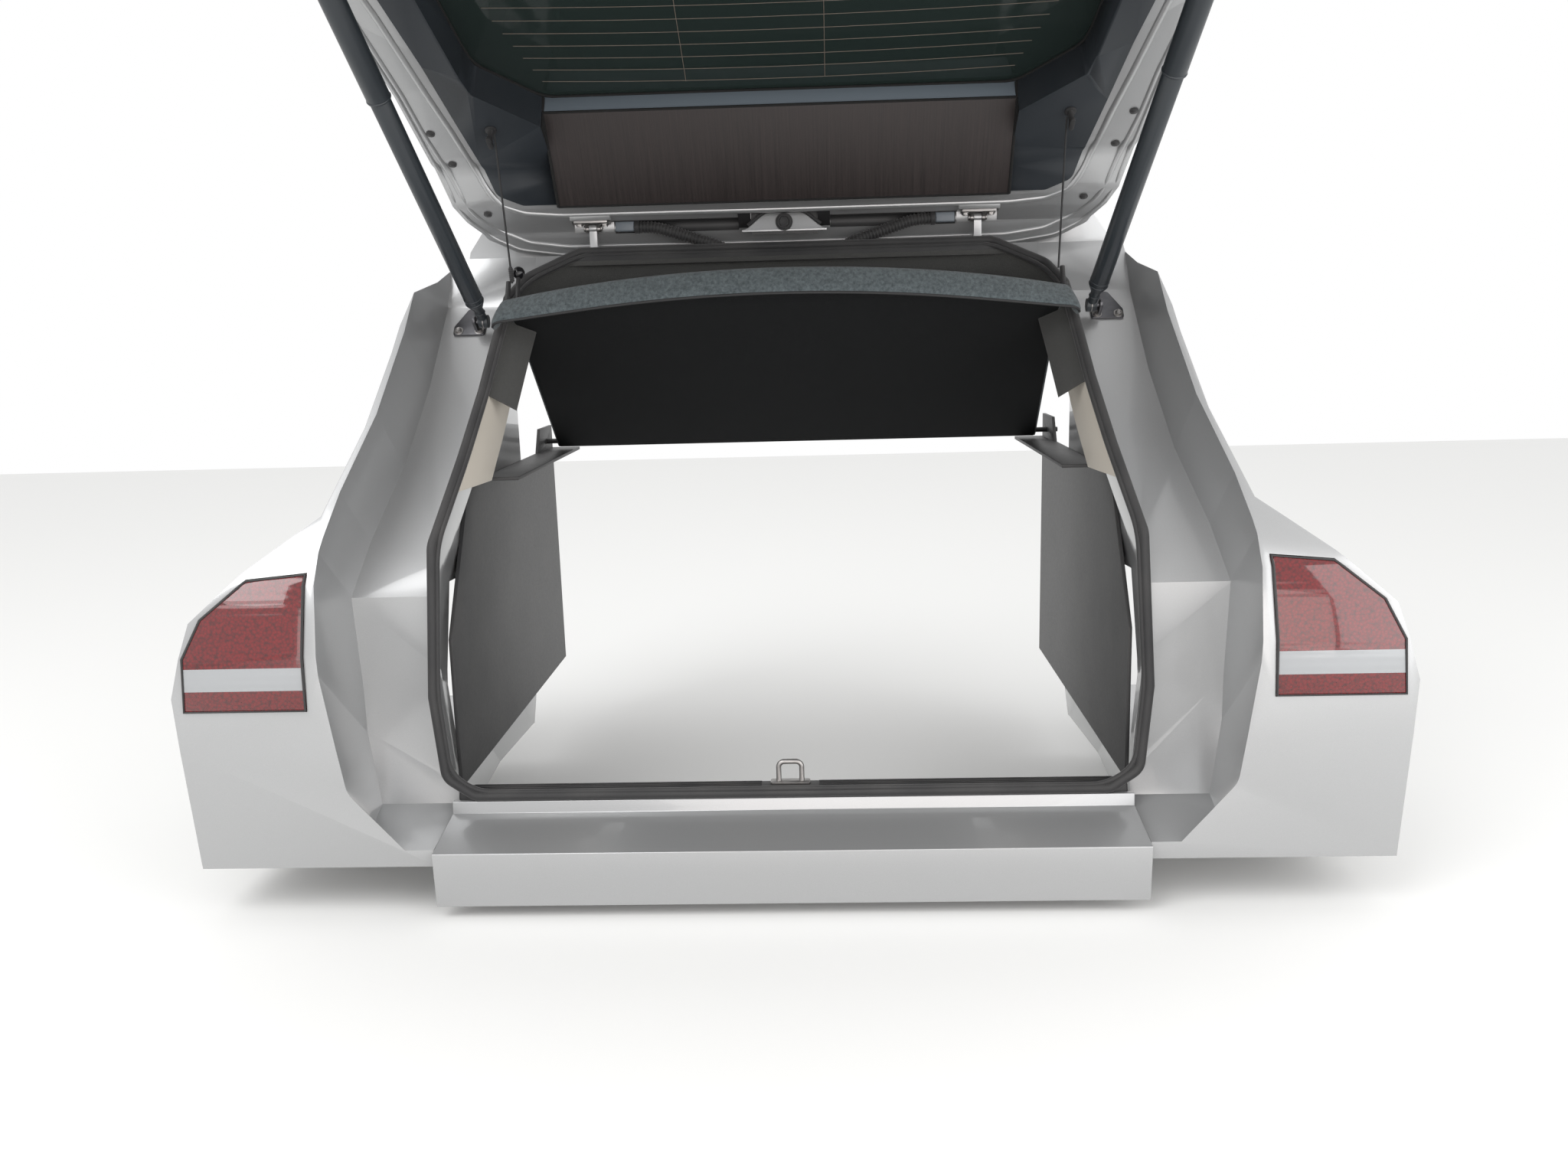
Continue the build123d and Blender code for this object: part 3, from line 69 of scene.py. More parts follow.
def makeCamera():
    yaw, pitch, roll = (math.radians(cameraSettings[key]) for key in ("yaw", "pitch", "roll"))
    ahead = Vector((math.sin(yaw) * math.cos(pitch), math.cos(yaw) * math.cos(pitch), math.sin(pitch)))
    right = Vector((math.cos(yaw), -math.sin(yaw), 0))
    up = right.cross(ahead)
    rightRolled = right * math.cos(roll) + up * math.sin(roll)
    upRolled = up * math.cos(roll) - right * math.sin(roll)
    data = bpy.data.cameras.new("photoCamera")
    data.sensor_width = cameraSettings["sensor"]
    data.lens = cameraSettings["lens"]
    data.clip_start = cameraSettings["near"]
    camera = bpy.data.objects.new("photoCamera", data)
    camera.matrix_world = frameOf(rightRolled, upRolled, -ahead, cameraSettings["place"])
    bpy.context.scene.collection.objects.link(camera)
    bpy.context.scene.camera = camera


makeCamera()
bpy.context.scene.view_settings.view_transform = "Standard"
print("camera ready")

# the gate is raised about the pin line, so its places are given shut and turned up here
gateTurn = {"open": math.radians(82), "slope": math.radians(50), "pinY": -0.150}


# side view place of a point t up the glass slope and n out of it
def slopePlace(t, n):
    sinS = math.sin(gateTurn["slope"])
    cosS = math.cos(gateTurn["slope"])
    return n * sinS - t * cosS, t * sinS + n * cosS


# places on the body: s behind the pin line and z up, or t and n of the shut gate's face
def bodySide(x, s, z):
    return Vector((x, gateTurn["pinY"] - s, z))


def bodyFace(x, t, n):
    return bodySide(x, *slopePlace(t, n))


# the same places on the gate, turned up with it
def gateSide(x, s, z):
    sinO = math.sin(gateTurn["open"])
    cosO = math.cos(gateTurn["open"])
    return bodySide(x, cosO * s - sinO * z, sinO * s + cosO * z)


def gatePoint(x, t, n):
    return gateSide(x, *slopePlace(t, n))


gateOut = (gatePoint(0, 0, 1) - gatePoint(0, 0, 0)).normalized()
gateUp = (gatePoint(0, 1, 0) - gatePoint(0, 0, 0)).normalized()


# a value, a colour or another node's output put into a socket
def feed(tree, socket, value):
    if isinstance(value, bpy.types.NodeSocket):
        tree.links.new(value, socket)
    elif socket.type == "RGBA":
        socket.default_value = (*value[:3], 1.0)
    else:
        socket.default_value = value


def addNode(tree, kind, **values):
    node = tree.nodes.new("ShaderNode" + kind)
    for key, value in values.items():
        if key in node.bl_rna.properties:
            setattr(node, key, value)
        else:
            feed(tree, node.inputs[key.replace("_", " ")], value)
    return node


def mathOf(tree, operation, *values):
    node = addNode(tree, "Math", operation=operation)
    for socket, value in zip(node.inputs, values):
        feed(tree, socket, value)
    return node.outputs[0]


# places of the two mixed inputs and of the result, by kind
mixSlots = {"FLOAT": (2, 3, 0), "RGBA": (6, 7, 2)}


def mixOf(tree, kind, factor, first, second):
    node = addNode(tree, "Mix", data_type=kind)
    firstSlot, secondSlot, result = mixSlots[kind]
    feed(tree, node.inputs[0], factor)
    feed(tree, node.inputs[firstSlot], first)
    feed(tree, node.inputs[secondSlot], second)
    return node.outputs[result]


def rangeOf(tree, value, source, target=(0.0, 1.0)):
    (low, high), (toLow, toHigh) = source, target
    node = addNode(tree, "MapRange", Value=value, From_Min=low, From_Max=high, To_Min=toLow, To_Max=toHigh)
    return node.outputs[0]


def noiseOf(tree, vector, scale, detail, **more):
    return addNode(tree, "TexNoise", Vector=vector, Scale=scale, Detail=detail, **more).outputs["Fac"]


# a shader node group; an input without a value is a vector
def newGroup(name, inputs, outputs):
    group = bpy.data.node_groups.new(name, "ShaderNodeTree")
    for label, value in inputs.items():
        kind = "Vector" if value is None else "Color" if isinstance(value, tuple) else "Float"
        socket = group.interface.new_socket(name=label, in_out="INPUT", socket_type="NodeSocket" + kind)
        if value is not None:
            socket.default_value = value
    for label, kind in outputs.items():
        group.interface.new_socket(name=label, in_out="OUTPUT", socket_type="NodeSocket" + kind)
    start = group.nodes.new("NodeGroupInput")
    end = group.nodes.new("NodeGroupOutput")
    return group, start.outputs, end.inputs


# height of a moulded grain: small cells with a softer cloud under them
def makeFineGrain():
    group, given, result = newGroup(
        "fineGrain", {"Vector": None, "Scale": 600.0, "Cloud": 0.3}, {"Height": "Float"}
    )
    wide = mathOf(group, "MULTIPLY", given["Scale"], 0.12)
    cells = addNode(group, "TexVoronoi", feature="SMOOTH_F1", Vector=given["Vector"], Scale=given["Scale"])
    cloud = noiseOf(group, given["Vector"], wide, 3.0)
    height = mixOf(group, "FLOAT", given["Cloud"], cells.outputs["Distance"], cloud)
    feed(group, result["Height"], height)
    return group


# mask of thin dust: heavier where the surface faces up, broken up by noise
def makeDustFilm():
    group, given, result = newGroup(
        "dustFilm", {"Vector": None, "Scale": 9.0, "Amount": 0.4}, {"Mask": "Float"}
    )
    noise = noiseOf(group, given["Vector"], given["Scale"], 2.0, Roughness=0.45)
    facing = addNode(group, "NewGeometry")
    split = addNode(group, "SeparateXYZ", Vector=facing.outputs["Normal"])
    upward = rangeOf(group, split.outputs["Z"], (-0.3, 1.0), (0.25, 1.0))
    patch = rangeOf(group, noise, (0.3, 0.9))
    film = mathOf(group, "MULTIPLY", mathOf(group, "MULTIPLY", upward, patch), given["Amount"])
    feed(group, result["Mask"], film)
    return group


# colour that wanders between two tones, for felt and flaked paint
def makeMottle():
    group, given, result = newGroup(
        "mottle",
        {"Vector": None, "Scale": 300.0, "Dark": (0.1, 0.1, 0.1, 1), "Light": (0.3, 0.3, 0.3, 1),
         "Contrast": 0.2},
        {"Color": "Color", "Value": "Float"},
    )
    noise = noiseOf(group, given["Vector"], given["Scale"], 4.0, Roughness=0.7)
    low = mathOf(group, "SUBTRACT", 0.5, given["Contrast"])
    high = mathOf(group, "ADD", 0.5, given["Contrast"])
    spread = rangeOf(group, noise, (low, high))
    feed(group, result["Color"], mixOf(group, "RGBA", spread, given["Dark"], given["Light"]))
    feed(group, result["Value"], spread)
    return group


fineGrain = makeFineGrain()
dustFilm = makeDustFilm()
mottle = makeMottle()
finishes = {}


def startMaterial(name, **sockets):
    material = bpy.data.materials.new(name)
    material.use_nodes = True
    tree = material.node_tree
    shader = tree.nodes["Principled BSDF"]
    for key, value in sockets.items():
        feed(tree, shader.inputs[key.replace("_", " ")], value)
    place = addNode(tree, "TexCoord")
    finishes[name] = material
    return tree, shader.inputs, place.outputs["Object"]


def placeGroup(tree, group, vector, **values):
    node = addNode(tree, "Group", node_tree=group)
    for key, value in {"Vector": vector, **values}.items():
        feed(tree, node.inputs[key], value)
    return node.outputs


def addBump(tree, shader, height, strength, distance):
    bump = addNode(tree, "Bump", Strength=strength, Distance=distance, Height=height)
    feed(tree, shader["Normal"], bump.outputs["Normal"])


def stretched(tree, vector, scale):
    return addNode(tree, "Mapping", Vector=vector, Scale=scale).outputs[0]


def roughnessFrom(tree, shader, value, low, high):
    feed(tree, shader["Roughness"], rangeOf(tree, value, (0.0, 1.0), (low, high)))


def darker(colour, share):
    return tuple(c * share for c in colour)


# painted steel with metal flakes, light dust and a faint wave
def makeBodyPaint(name, dark, light):
    tree, shader, place = startMaterial(name, Metallic=0.55, Coat_Weight=0.8, Coat_Roughness=0.06)
    flakes = placeGroup(tree, mottle, place, Scale=1400.0, Dark=dark, Light=light, Contrast=0.4)
    dust = placeGroup(tree, dustFilm, place, Scale=5.0, Amount=0.2)
    feed(tree, shader["Base Color"], mixOf(tree, "RGBA", dust["Mask"], flakes["Color"], (0.40, 0.385, 0.365)))
    roughnessFrom(tree, shader, dust["Mask"], 0.29, 0.5)
    addBump(tree, shader, noiseOf(tree, place, 22.0, 2.0), 0.03, 0.001)


makeBodyPaint("bodyPaint", (0.33, 0.335, 0.34), (0.45, 0.455, 0.46))


def makePlastic(name, colour, scale, strength, low, high, dust, sheen):
    tree, shader, place = startMaterial(name, Sheen_Weight=sheen)
    grain = placeGroup(tree, fineGrain, place, Scale=scale, Cloud=0.35)
    film = placeGroup(tree, dustFilm, place, Scale=12.0, Amount=dust)
    feed(tree, shader["Base Color"], mixOf(tree, "RGBA", film["Mask"], colour, (0.36, 0.34, 0.32)))
    roughnessFrom(tree, shader, grain["Height"], low, high)
    addBump(tree, shader, grain["Height"], strength, 0.0008)


# colour, grain scale, grain height, lowest and highest roughness, dust, sheen
plastics = {
    "sideTrimPlastic": ((0.014, 0.018, 0.023), 900.0, 0.12, 0.45, 0.58, 0.04, 0.0),
    # painted highlight: lighter blue-grey for the light caught along the header trim's upper lip
    "lipHighlightPlastic": ((0.140, 0.168, 0.195), 3000.0, 0.02, 0.2, 0.3, 0.0, 0.0),
    "blackPlastic": ((0.018, 0.018, 0.019), 1100.0, 0.18, 0.38, 0.6, 0.12, 0.0),
    "glossPlastic": ((0.008, 0.008, 0.009), 300.0, 0.02, 0.08, 0.16, 0.03, 0.0),
    "beigePlastic": ((0.50, 0.46, 0.40), 1300.0, 0.2, 0.55, 0.7, 0.05, 0.0),
    "greyPlug": ((0.115, 0.135, 0.155), 1000.0, 0.12, 0.3, 0.45, 0.05, 0.0),
    "rubber": ((0.014, 0.014, 0.015), 1500.0, 0.3, 0.55, 0.8, 0.12, 0.2),
    "strutBlack": ((0.022, 0.027, 0.032), 1800.0, 0.05, 0.3, 0.42, 0.03, 0.0),
}
for plastic, look in plastics.items():
    makePlastic(plastic, *look)


# brown-black moulding with fine drawn lines running down it
def makeHeaderPlastic():
    tree, shader, place = startMaterial("headerPlastic")
    noise = noiseOf(tree, stretched(tree, place, (340.0, 6.0, 6.0)), 1.0, 4.0, Roughness=0.7)
    contrast = rangeOf(tree, noise, (0.2, 0.8))
    brown = mixOf(tree, "RGBA", contrast, (0.0095, 0.0066, 0.0064), (0.0285, 0.0205, 0.0195))
    feed(tree, shader["Base Color"], brown)
    roughnessFrom(tree, shader, noise, 0.5, 0.72)
    addBump(tree, shader, noise, 0.35, 0.0006)


makeHeaderPlastic()


def makeSteel(name, colour, rough):
    tree, shader, place = startMaterial(name, Metallic=1.0)
    brushed = placeGroup(tree, fineGrain, stretched(tree, place, (0.4, 2.0, 2.0)), Scale=900.0, Cloud=0.6)
    cloud = placeGroup(tree, mottle, place, Scale=60.0, Dark=darker(colour, 0.72), Light=colour, Contrast=0.3)
    feed(tree, shader["Base Color"], cloud["Color"])
    roughnessFrom(tree, shader, brushed["Height"], rough - 0.08, rough + 0.14)
    addBump(tree, shader, brushed["Height"], 0.12, 0.0004)


makeSteel("zincSteel", (0.42, 0.405, 0.395), 0.38)
makeSteel("darkSteel", (0.16, 0.16, 0.17), 0.42)


def makeFelt(name, dark, light, scale, sheen):
    tree, shader, place = startMaterial(
        name, Roughness=0.95, Specular_IOR_Level=0.2, Sheen_Weight=sheen, Sheen_Roughness=0.5
    )
    tone = placeGroup(tree, mottle, place, Scale=scale, Dark=dark, Light=light, Contrast=0.22)
    feed(tree, shader["Base Color"], tone["Color"])
    fibre = noiseOf(tree, place, scale * 5, 6.0, Roughness=0.8, Distortion=1.5)
    addBump(tree, shader, fibre, 0.7, 0.0015)


makeFelt("shelfFelt", (0.034, 0.042, 0.045), (0.110, 0.132, 0.140), 170.0, 0.2)
makeFelt("underFelt", (0.0035, 0.004, 0.0045), (0.008, 0.009, 0.010), 420.0, 0.0)
# headliner cloth: its own grey-brown, darkened further as painted shade
makeFelt("shadedHeadlinerCloth", (0.050, 0.050, 0.048), (0.088, 0.088, 0.085), 700.0, 0.1)


# tinted glass with wiped smears
def makeGlass():
    tree, shader, place = startMaterial(
        "darkGlass", Base_Color=(0.014, 0.022, 0.020), Alpha=0.95, Specular_IOR_Level=0.3
    )
    smear = noiseOf(tree, stretched(tree, place, (1.0, 2.2, 2.2)), 14.0, 4.0, Distortion=0.6)
    roughnessFrom(tree, shader, smear, 0.02, 0.12)
    finishes["darkGlass"].surface_render_method = "BLENDED"


makeGlass()


# coloured lamp cover over a ribbed reflector, with a clear band at a height if asked
def makeLens(name, dark, light, scale, clearBand=None):
    tree, shader, place = startMaterial(name, Roughness=0.1, Coat_Weight=1.0, Coat_Roughness=0.03)
    ribs = addNode(tree, "TexWave", Vector=place, Scale=scale, bands_direction="Z")
    cells = addNode(tree, "TexVoronoi", Vector=place, Scale=scale * 9)
    tone = mixOf(tree, "RGBA", cells.outputs["Distance"], dark, light)
    if clearBand:
        height = addNode(tree, "SeparateXYZ", Vector=place)
        inBand = mathOf(tree, "COMPARE", height.outputs["Z"], *clearBand)
        tone = mixOf(tree, "RGBA", inBand, tone, (0.30, 0.31, 0.32))
    feed(tree, shader["Base Color"], tone)
    addBump(tree, shader, ribs.outputs["Fac"], 0.12, 0.0015)


makeLens("redLens", (0.170, 0.002, 0.004), (0.045, 0.0006, 0.001), 26.0, (-0.652, 0.017))
makeLens("stopLens", (0.18, 0.002, 0.004), (0.05, 0.001, 0.001), 60.0)


# printed or shaded line
def makeLine(name, colour, rough):
    tree, shader, place = startMaterial(name)
    tone = placeGroup(tree, mottle, place, Scale=500.0, Dark=darker(colour, 0.7), Light=colour, Contrast=0.25)
    feed(tree, shader["Base Color"], tone["Color"])
    roughnessFrom(tree, shader, tone["Value"], rough - 0.08, rough + 0.08)


makeLine("heaterAmber", (0.20, 0.16, 0.13), 0.5)
makeLine("ceramicBlack", (0.012, 0.012, 0.013), 0.3)
# black for gaps, seams and beads, and for the painted shadow line under the header trim
makeLine("gapAndShadowBlack", (0.004, 0.004, 0.004), 0.9)
makeLine("cordBlack", (0.022, 0.022, 0.023), 0.75)
print("materials ready:", len(finishes))


def deselectAll():
    if bpy.context.object and bpy.context.object.mode != "OBJECT":
        bpy.ops.object.mode_set(mode="OBJECT")
    bpy.ops.object.select_all(action="DESELECT")


def makeActive(piece):
    deselectAll()
    piece.select_set(True)
    bpy.context.view_layer.objects.active = piece


def applyPlace(piece):
    makeActive(piece)
    bpy.ops.object.transform_apply(location=True, rotation=True, scale=True)


def applyModifiers(piece):
    makeActive(piece)
    for modifier in list(piece.modifiers):
        bpy.ops.object.modifier_apply(modifier=modifier.name)


def smooth(piece, angle=32):
    makeActive(piece)
    bpy.ops.object.shade_smooth_by_angle(angle=math.radians(angle))


def finish(piece, material, body):
    piece.data.materials.clear()
    piece.data.materials.append(finishes[material])
    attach(piece, body)
    return piece


def joinPieces(name, pieces):
    deselectAll()
    for piece in pieces:
        piece.select_set(True)
    bpy.context.view_layer.objects.active = pieces[0]
    if len(pieces) > 1:
        bpy.ops.object.join()
    joined = bpy.context.view_layer.objects.active
    joined.name = name
    joined.data.name = name
    return joined


def newObject(name, data):
    piece = bpy.data.objects.new(name, data)
    bpy.context.scene.collection.objects.link(piece)
    makeActive(piece)
    return piece


# how near points are merged and how flat faces are joined
weld = {"merge": 0.00002, "flat": math.radians(0.6)}


# points merged, then flat faces joined or the normals turned outward
def cleanMesh(piece, flatten):
    makeActive(piece)
    bpy.ops.object.mode_set(mode="EDIT")
    bpy.ops.mesh.select_all(action="SELECT")
    bpy.ops.mesh.remove_doubles(threshold=weld["merge"])
    if flatten:
        bpy.ops.mesh.dissolve_limited(angle_limit=weld["flat"])
    else:
        bpy.ops.mesh.normals_make_consistent(inside=False)
    bpy.ops.object.mode_set(mode="OBJECT")


# a cleaned copy of a CAD node's mesh
def copyNode(node, name):
    piece = newObject(name, nodes[node].data.copy())
    cleanMesh(piece, True)
    return piece


# edit mode with only the faces selected that pass a test
def selectFaces(piece, passes):
    bpy.ops.object.mode_set(mode="EDIT")
    bpy.ops.mesh.select_mode(type="FACE")
    bpy.ops.mesh.select_all(action="DESELECT")
    bpy.ops.object.mode_set(mode="OBJECT")
    for face in piece.data.polygons:
        face.select = passes(face)
    bpy.ops.object.mode_set(mode="EDIT")


def toMesh(piece):
    makeActive(piece)
    bpy.ops.object.convert(target="MESH")
    return bpy.context.view_layer.objects.active


def bevelEdges(piece, width, segments=2, corner=30):
    bevel = piece.modifiers.new("softEdge", "BEVEL")
    bevel.width = width
    bevel.segments = segments
    bevel.limit_method = "ANGLE"
    bevel.angle_limit = math.radians(corner)
    applyModifiers(piece)


# a copy of a CAD node with softened edges, which stands for the node
def roundedCopy(node, material, width, segments=2, bends=(), corner=28, soft=34, cuts=()):
    piece = copyNode(node, node + "Skin")
    bpy.ops.object.mode_set(mode="EDIT")
    for t in bends:
        bpy.ops.mesh.select_all(action="SELECT")
        bpy.ops.mesh.bisect(plane_co=gatePoint(0, t, 0), plane_no=gateUp)
    for spot, outward in cuts:
        bpy.ops.mesh.select_all(action="SELECT")
        bpy.ops.mesh.bisect(plane_co=(0, 0, spot.z), plane_no=(0, 0, 1))
        bpy.ops.object.mode_set(mode="OBJECT")
        for face in piece.data.polygons:
            face.select = face.center.z > spot.z
        bpy.ops.object.mode_set(mode="EDIT")
        bpy.ops.mesh.select_mode(type="FACE")
        bpy.ops.mesh.bisect(plane_co=spot, plane_no=outward, use_fill=True, clear_outer=True)
    bpy.ops.object.mode_set(mode="OBJECT")
    if width > 0:
        bevelEdges(piece, width, segments, corner)
    smooth(piece, soft)
    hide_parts(node)
    return finish(piece, material, bodyOf[node])


# a line's points with each corner swung round by a short curve
def softCorners(points, radius, steps=4):
    line = [Vector(points[0])]
    for before, corner, after in zip(points[:-2], points[1:-1], points[2:]):
        corner = Vector(corner)
        back = Vector(before) - corner
        ahead = Vector(after) - corner
        reach = min(radius, back.length * 0.48, ahead.length * 0.48)
        start = corner + back.normalized() * reach
        end = corner + ahead.normalized() * reach
        for step in range(steps + 1):
            k = step / steps
            line.append(start * (1 - k) ** 2 + corner * 2 * k * (1 - k) + end * k**2)
    line.append(Vector(points[-1]))
    return line


def mirrored(points):
    return [Vector((-p.x, p.y, p.z)) for p in points]


# a line given from the middle to the right, carried on to the left
def acrossCar(points):
    half = [Vector(point) for point in points]
    return mirrored(reversed(half[1:])) + half


# the same for a line that starts and ends in the middle, as a closed loop
def loopAcross(half):
    return mirrored(reversed(half[1:-1])) + half


def between(low, high, share):
    return low + (high - low) * share


# direction of a line at its point i
def runAt(line, i):
    return line[min(i + 1, len(line) - 1)] - line[max(i - 1, 0)]


# a closed skin over a row of cross sections with as many points each
def meshFromSections(name, sections):
    shape = bmesh.new()
    rings = [[shape.verts.new(point) for point in section] for section in sections]
    for first, second in zip(rings, rings[1:]):
        for i in range(len(first)):
            j = (i + 1) % len(first)
            shape.faces.new((first[i], first[j], second[j], second[i]))
    shape.faces.new(list(reversed(rings[0])))
    shape.faces.new(rings[-1])
    bmesh.ops.recalc_face_normals(shape, faces=shape.faces)
    data = bpy.data.meshes.new(name)
    shape.to_mesh(data)
    shape.free()
    return newObject(name, data)


def polyCurve(name, points, closed=False):
    curve = bpy.data.curves.new(name, "CURVE")
    curve.dimensions = "3D"
    spline = curve.splines.new("POLY")
    spline.points.add(len(points) - 1)
    for target, point in zip(spline.points, points):
        target.co = (*(*point, 0.0)[:3], 1.0)
    spline.use_cyclic_u = closed
    return curve


# a flat plate with rounded edges from an outline in its own plane
def plateShape(name, outline, toWorld, depth, bevel):
    curve = polyCurve(name, outline, True)
    curve.dimensions = "2D"
    curve.fill_mode = "BOTH"
    curve.extrude = depth / 2 - bevel
    curve.bevel_depth = bevel
    curve.bevel_resolution = 1
    curve.offset = -bevel
    piece = newObject(name, curve)
    piece.matrix_world = toWorld
    piece = toMesh(piece)
    applyPlace(piece)
    cleanMesh(piece, False)
    smooth(piece, 40)
    return piece


# a round bead along the border of the faces of a node that look one way
def outlineTube(node, name, direction, radius):
    piece = copyNode(node, name)
    selectFaces(piece, lambda face: face.normal.dot(direction) > 0.3)
    bpy.ops.mesh.region_to_loop()
    bpy.ops.mesh.select_all(action="INVERT")
    bpy.ops.mesh.delete(type="EDGE")
    bpy.ops.mesh.select_all(action="SELECT")
    bpy.ops.mesh.delete(type="ONLY_FACE")
    bpy.ops.object.mode_set(mode="OBJECT")
    bpy.ops.object.convert(target="CURVE")
    line = bpy.context.view_layer.objects.active
    line.data.bevel_depth = radius
    line.data.bevel_resolution = 2
    line.data.use_fill_caps = True
    bead = toMesh(line)
    smooth(bead, 50)
    return bead


# a round bar along a line through the air, made a mesh
def tubeAlong(name, points, radius, closed=False, sides=3):
    curve = polyCurve(name, points, closed)
    curve.bevel_depth = radius
    curve.bevel_resolution = sides
    curve.use_fill_caps = not closed
    piece = toMesh(newObject(name, curve))
    cleanMesh(piece, False)
    smooth(piece, 50)
    return piece


# a turned disc with a bevelled rim and, if asked, a sunken middle
def roundDisc(name, centre, normal, radius, depth, bevel, inset=0.0, sink=0.0, sides=32):
    deselectAll()
    outward = Vector(normal).normalized()
    turn = Vector(normal).to_track_quat("Z", "Y").to_euler()
    bpy.ops.mesh.primitive_cylinder_add(
        vertices=sides, radius=radius, depth=depth, location=centre, rotation=turn
    )
    piece = bpy.context.object
    piece.name = name
    applyPlace(piece)
    if inset > 0:
        selectFaces(piece, lambda face: face.normal.dot(outward) > 0.99)
        bpy.ops.mesh.inset(thickness=inset)
        bpy.ops.transform.translate(value=-outward * sink)
        bpy.ops.object.mode_set(mode="OBJECT")
    bevelEdges(piece, bevel)
    smooth(piece, 40)
    return piece


# a bent sheet from a side view line of (y, z) points, run across the car
def stripAcross(name, profile, left, right, thickness, bevel=0.0):
    curve = polyCurve(name, profile)
    curve.extrude = (right - left) / 2
    piece = newObject(name, curve)
    piece.matrix_world = frameOf((0, 1, 0), (0, 0, 1), (1, 0, 0), ((left + right) / 2, 0, 0))
    piece = toMesh(piece)
    applyPlace(piece)
    wall = piece.modifiers.new("wall", "SOLIDIFY")
    wall.thickness = thickness
    wall.offset = 0
    applyModifiers(piece)
    if bevel > 0:
        bevelEdges(piece, bevel)
    smooth(piece, 35)
    return piece


def turnedRing(name, centre, axis, radius, minor, around=28, across=10):
    deselectAll()
    turn = Vector(axis).to_track_quat("Z", "Y").to_euler()
    bpy.ops.mesh.primitive_torus_add(
        location=centre,
        rotation=turn,
        major_radius=radius,
        minor_radius=minor,
        major_segments=around,
        minor_segments=across,
    )
    piece = bpy.context.object
    piece.name = name
    applyPlace(piece)
    smooth(piece, 60)
    return piece


# a ball, or a dome if it is flattened along a direction
def roundBall(name, centre, radius, segments, rings, angle, squash=1.0, along=(0, 0, 1)):
    deselectAll()
    bpy.ops.mesh.primitive_uv_sphere_add(segments=segments, ring_count=rings, radius=radius, location=centre)
    piece = bpy.context.object
    piece.name = name
    piece.scale = (1, 1, squash)
    piece.rotation_euler = Vector(along).to_track_quat("Z", "Y").to_euler()
    applyPlace(piece)
    smooth(piece, angle)
    return piece


# floor and light: each lamp has its place, its power, its size and its colour
studio = {"floorZ": -1.03, "floorSize": 14.0, "world": 1.0, "aim": (0, -0.5, 0)}
lamps = {
    "keyLight": ((-2.2, -3.2, 2.6), 105.0, 3.0, (1, 1, 1)),
    "fillLight": ((2.6, -2.4, 0.4), 55.0, 3.0, (1, 1, 1)),
    "lowLight": ((0.3, -2.8, -0.75), 26.0, 2.2, (1.0, 0.93, 0.90)),
}


def makeFloor():
    deselectAll()
    bpy.ops.mesh.primitive_plane_add(size=studio["floorSize"], location=(0, -1.0, studio["floorZ"]))
    floor = bpy.context.object
    floor.name = "paleFloor"
    startMaterial("paleFloor", Base_Color=(0.8, 0.8, 0.79), Roughness=0.85)
    floor.data.materials.append(finishes["paleFloor"])


# white where it is seen, mirrored or looked at through glass, and the studio's own strength elsewhere
def makeWorld():
    world = bpy.data.worlds.new("studio")
    bpy.context.scene.world = world
    world.use_nodes = True
    tree = world.node_tree
    back = tree.nodes["Background"]
    back.inputs["Color"].default_value = (1, 1, 1, 1)
    back.inputs["Strength"].default_value = studio["world"]
    bright = addNode(tree, "Background", Color=(1, 1, 1))
    path = addNode(tree, "LightPath").outputs
    seen = mathOf(tree, "MAXIMUM", path["Is Camera Ray"], path["Is Glossy Ray"])
    seen = mathOf(tree, "MAXIMUM", seen, path["Is Transmission Ray"])
    mix = addNode(tree, "MixShader")
    for socket, source in zip(mix.inputs, (seen, back.outputs[0], bright.outputs[0])):
        tree.links.new(source, socket)
    tree.links.new(mix.outputs[0], tree.nodes["World Output"].inputs[0])


def makeLamps():
    for name, (place, energy, size, colour) in lamps.items():
        data = bpy.data.lights.new(name, "AREA")
        data.energy = energy
        data.size = size
        data.color = colour
        lamp = bpy.data.objects.new(name, data)
        bpy.context.scene.collection.objects.link(lamp)
        lamp.location = place
        aim = Vector(studio["aim"]) - Vector(place)
        lamp.rotation_euler = aim.to_track_quat("-Z", "Y").to_euler()


makeFloor()
makeWorld()
makeLamps()
print("studio ready")

# painted panels: softened copies of the CAD solids, where * stands for right, then left
paintedPanels = {
    "roof_end": 0.003,
    "roof_header": 0.003,
    "quarter_*": 0.005,
    "rear_sill": 0.0012,
    "tailgate_inner": 0.004,
    "tailgate_outer": 0.0012,
    "spoiler": 0.005,
    "hinge_arm_*": 0.0012,
}
flangeBends = (0.045, 0.028, 0.016, 0.004, -0.055, -0.086, -0.114, -0.150)
quarterSweep = [((0.6065, 0, -0.160), (0.575, 0, -0.030)), ((0.575, 0, -0.030), (0.522, 0, 0.042))]


# planes that slope off the upper corner of a quarter
def sweepCuts(side):
    cuts = []
    for low, high in quarterSweep:
        rise = Vector(high) - Vector(low)
        cuts.append((Vector((side * low[0], 0, low[2])), Vector((side * rise.z, 0, -rise.x))))
    return cuts


# the nodes that a name with * stands for, each with its side
def bothSides(name):
    if "*" not in name:
        return [(name, 0)]
    return [(name.replace("*", word), side) for word, side in (("right", 1), ("left", -1))]


for panel, edge in paintedPanels.items():
    for node, side in bothSides(panel):
        if panel == "quarter_*":
            roundedCopy(node, "bodyPaint", edge, 3, cuts=sweepCuts(side))
        elif panel == "tailgate_inner":
            roundedCopy(node, "bodyPaint", edge, 3, bends=flangeBends, corner=38, soft=40)
        else:
            roundedCopy(node, "bodyPaint", edge, 3)
print("painted panels ready")

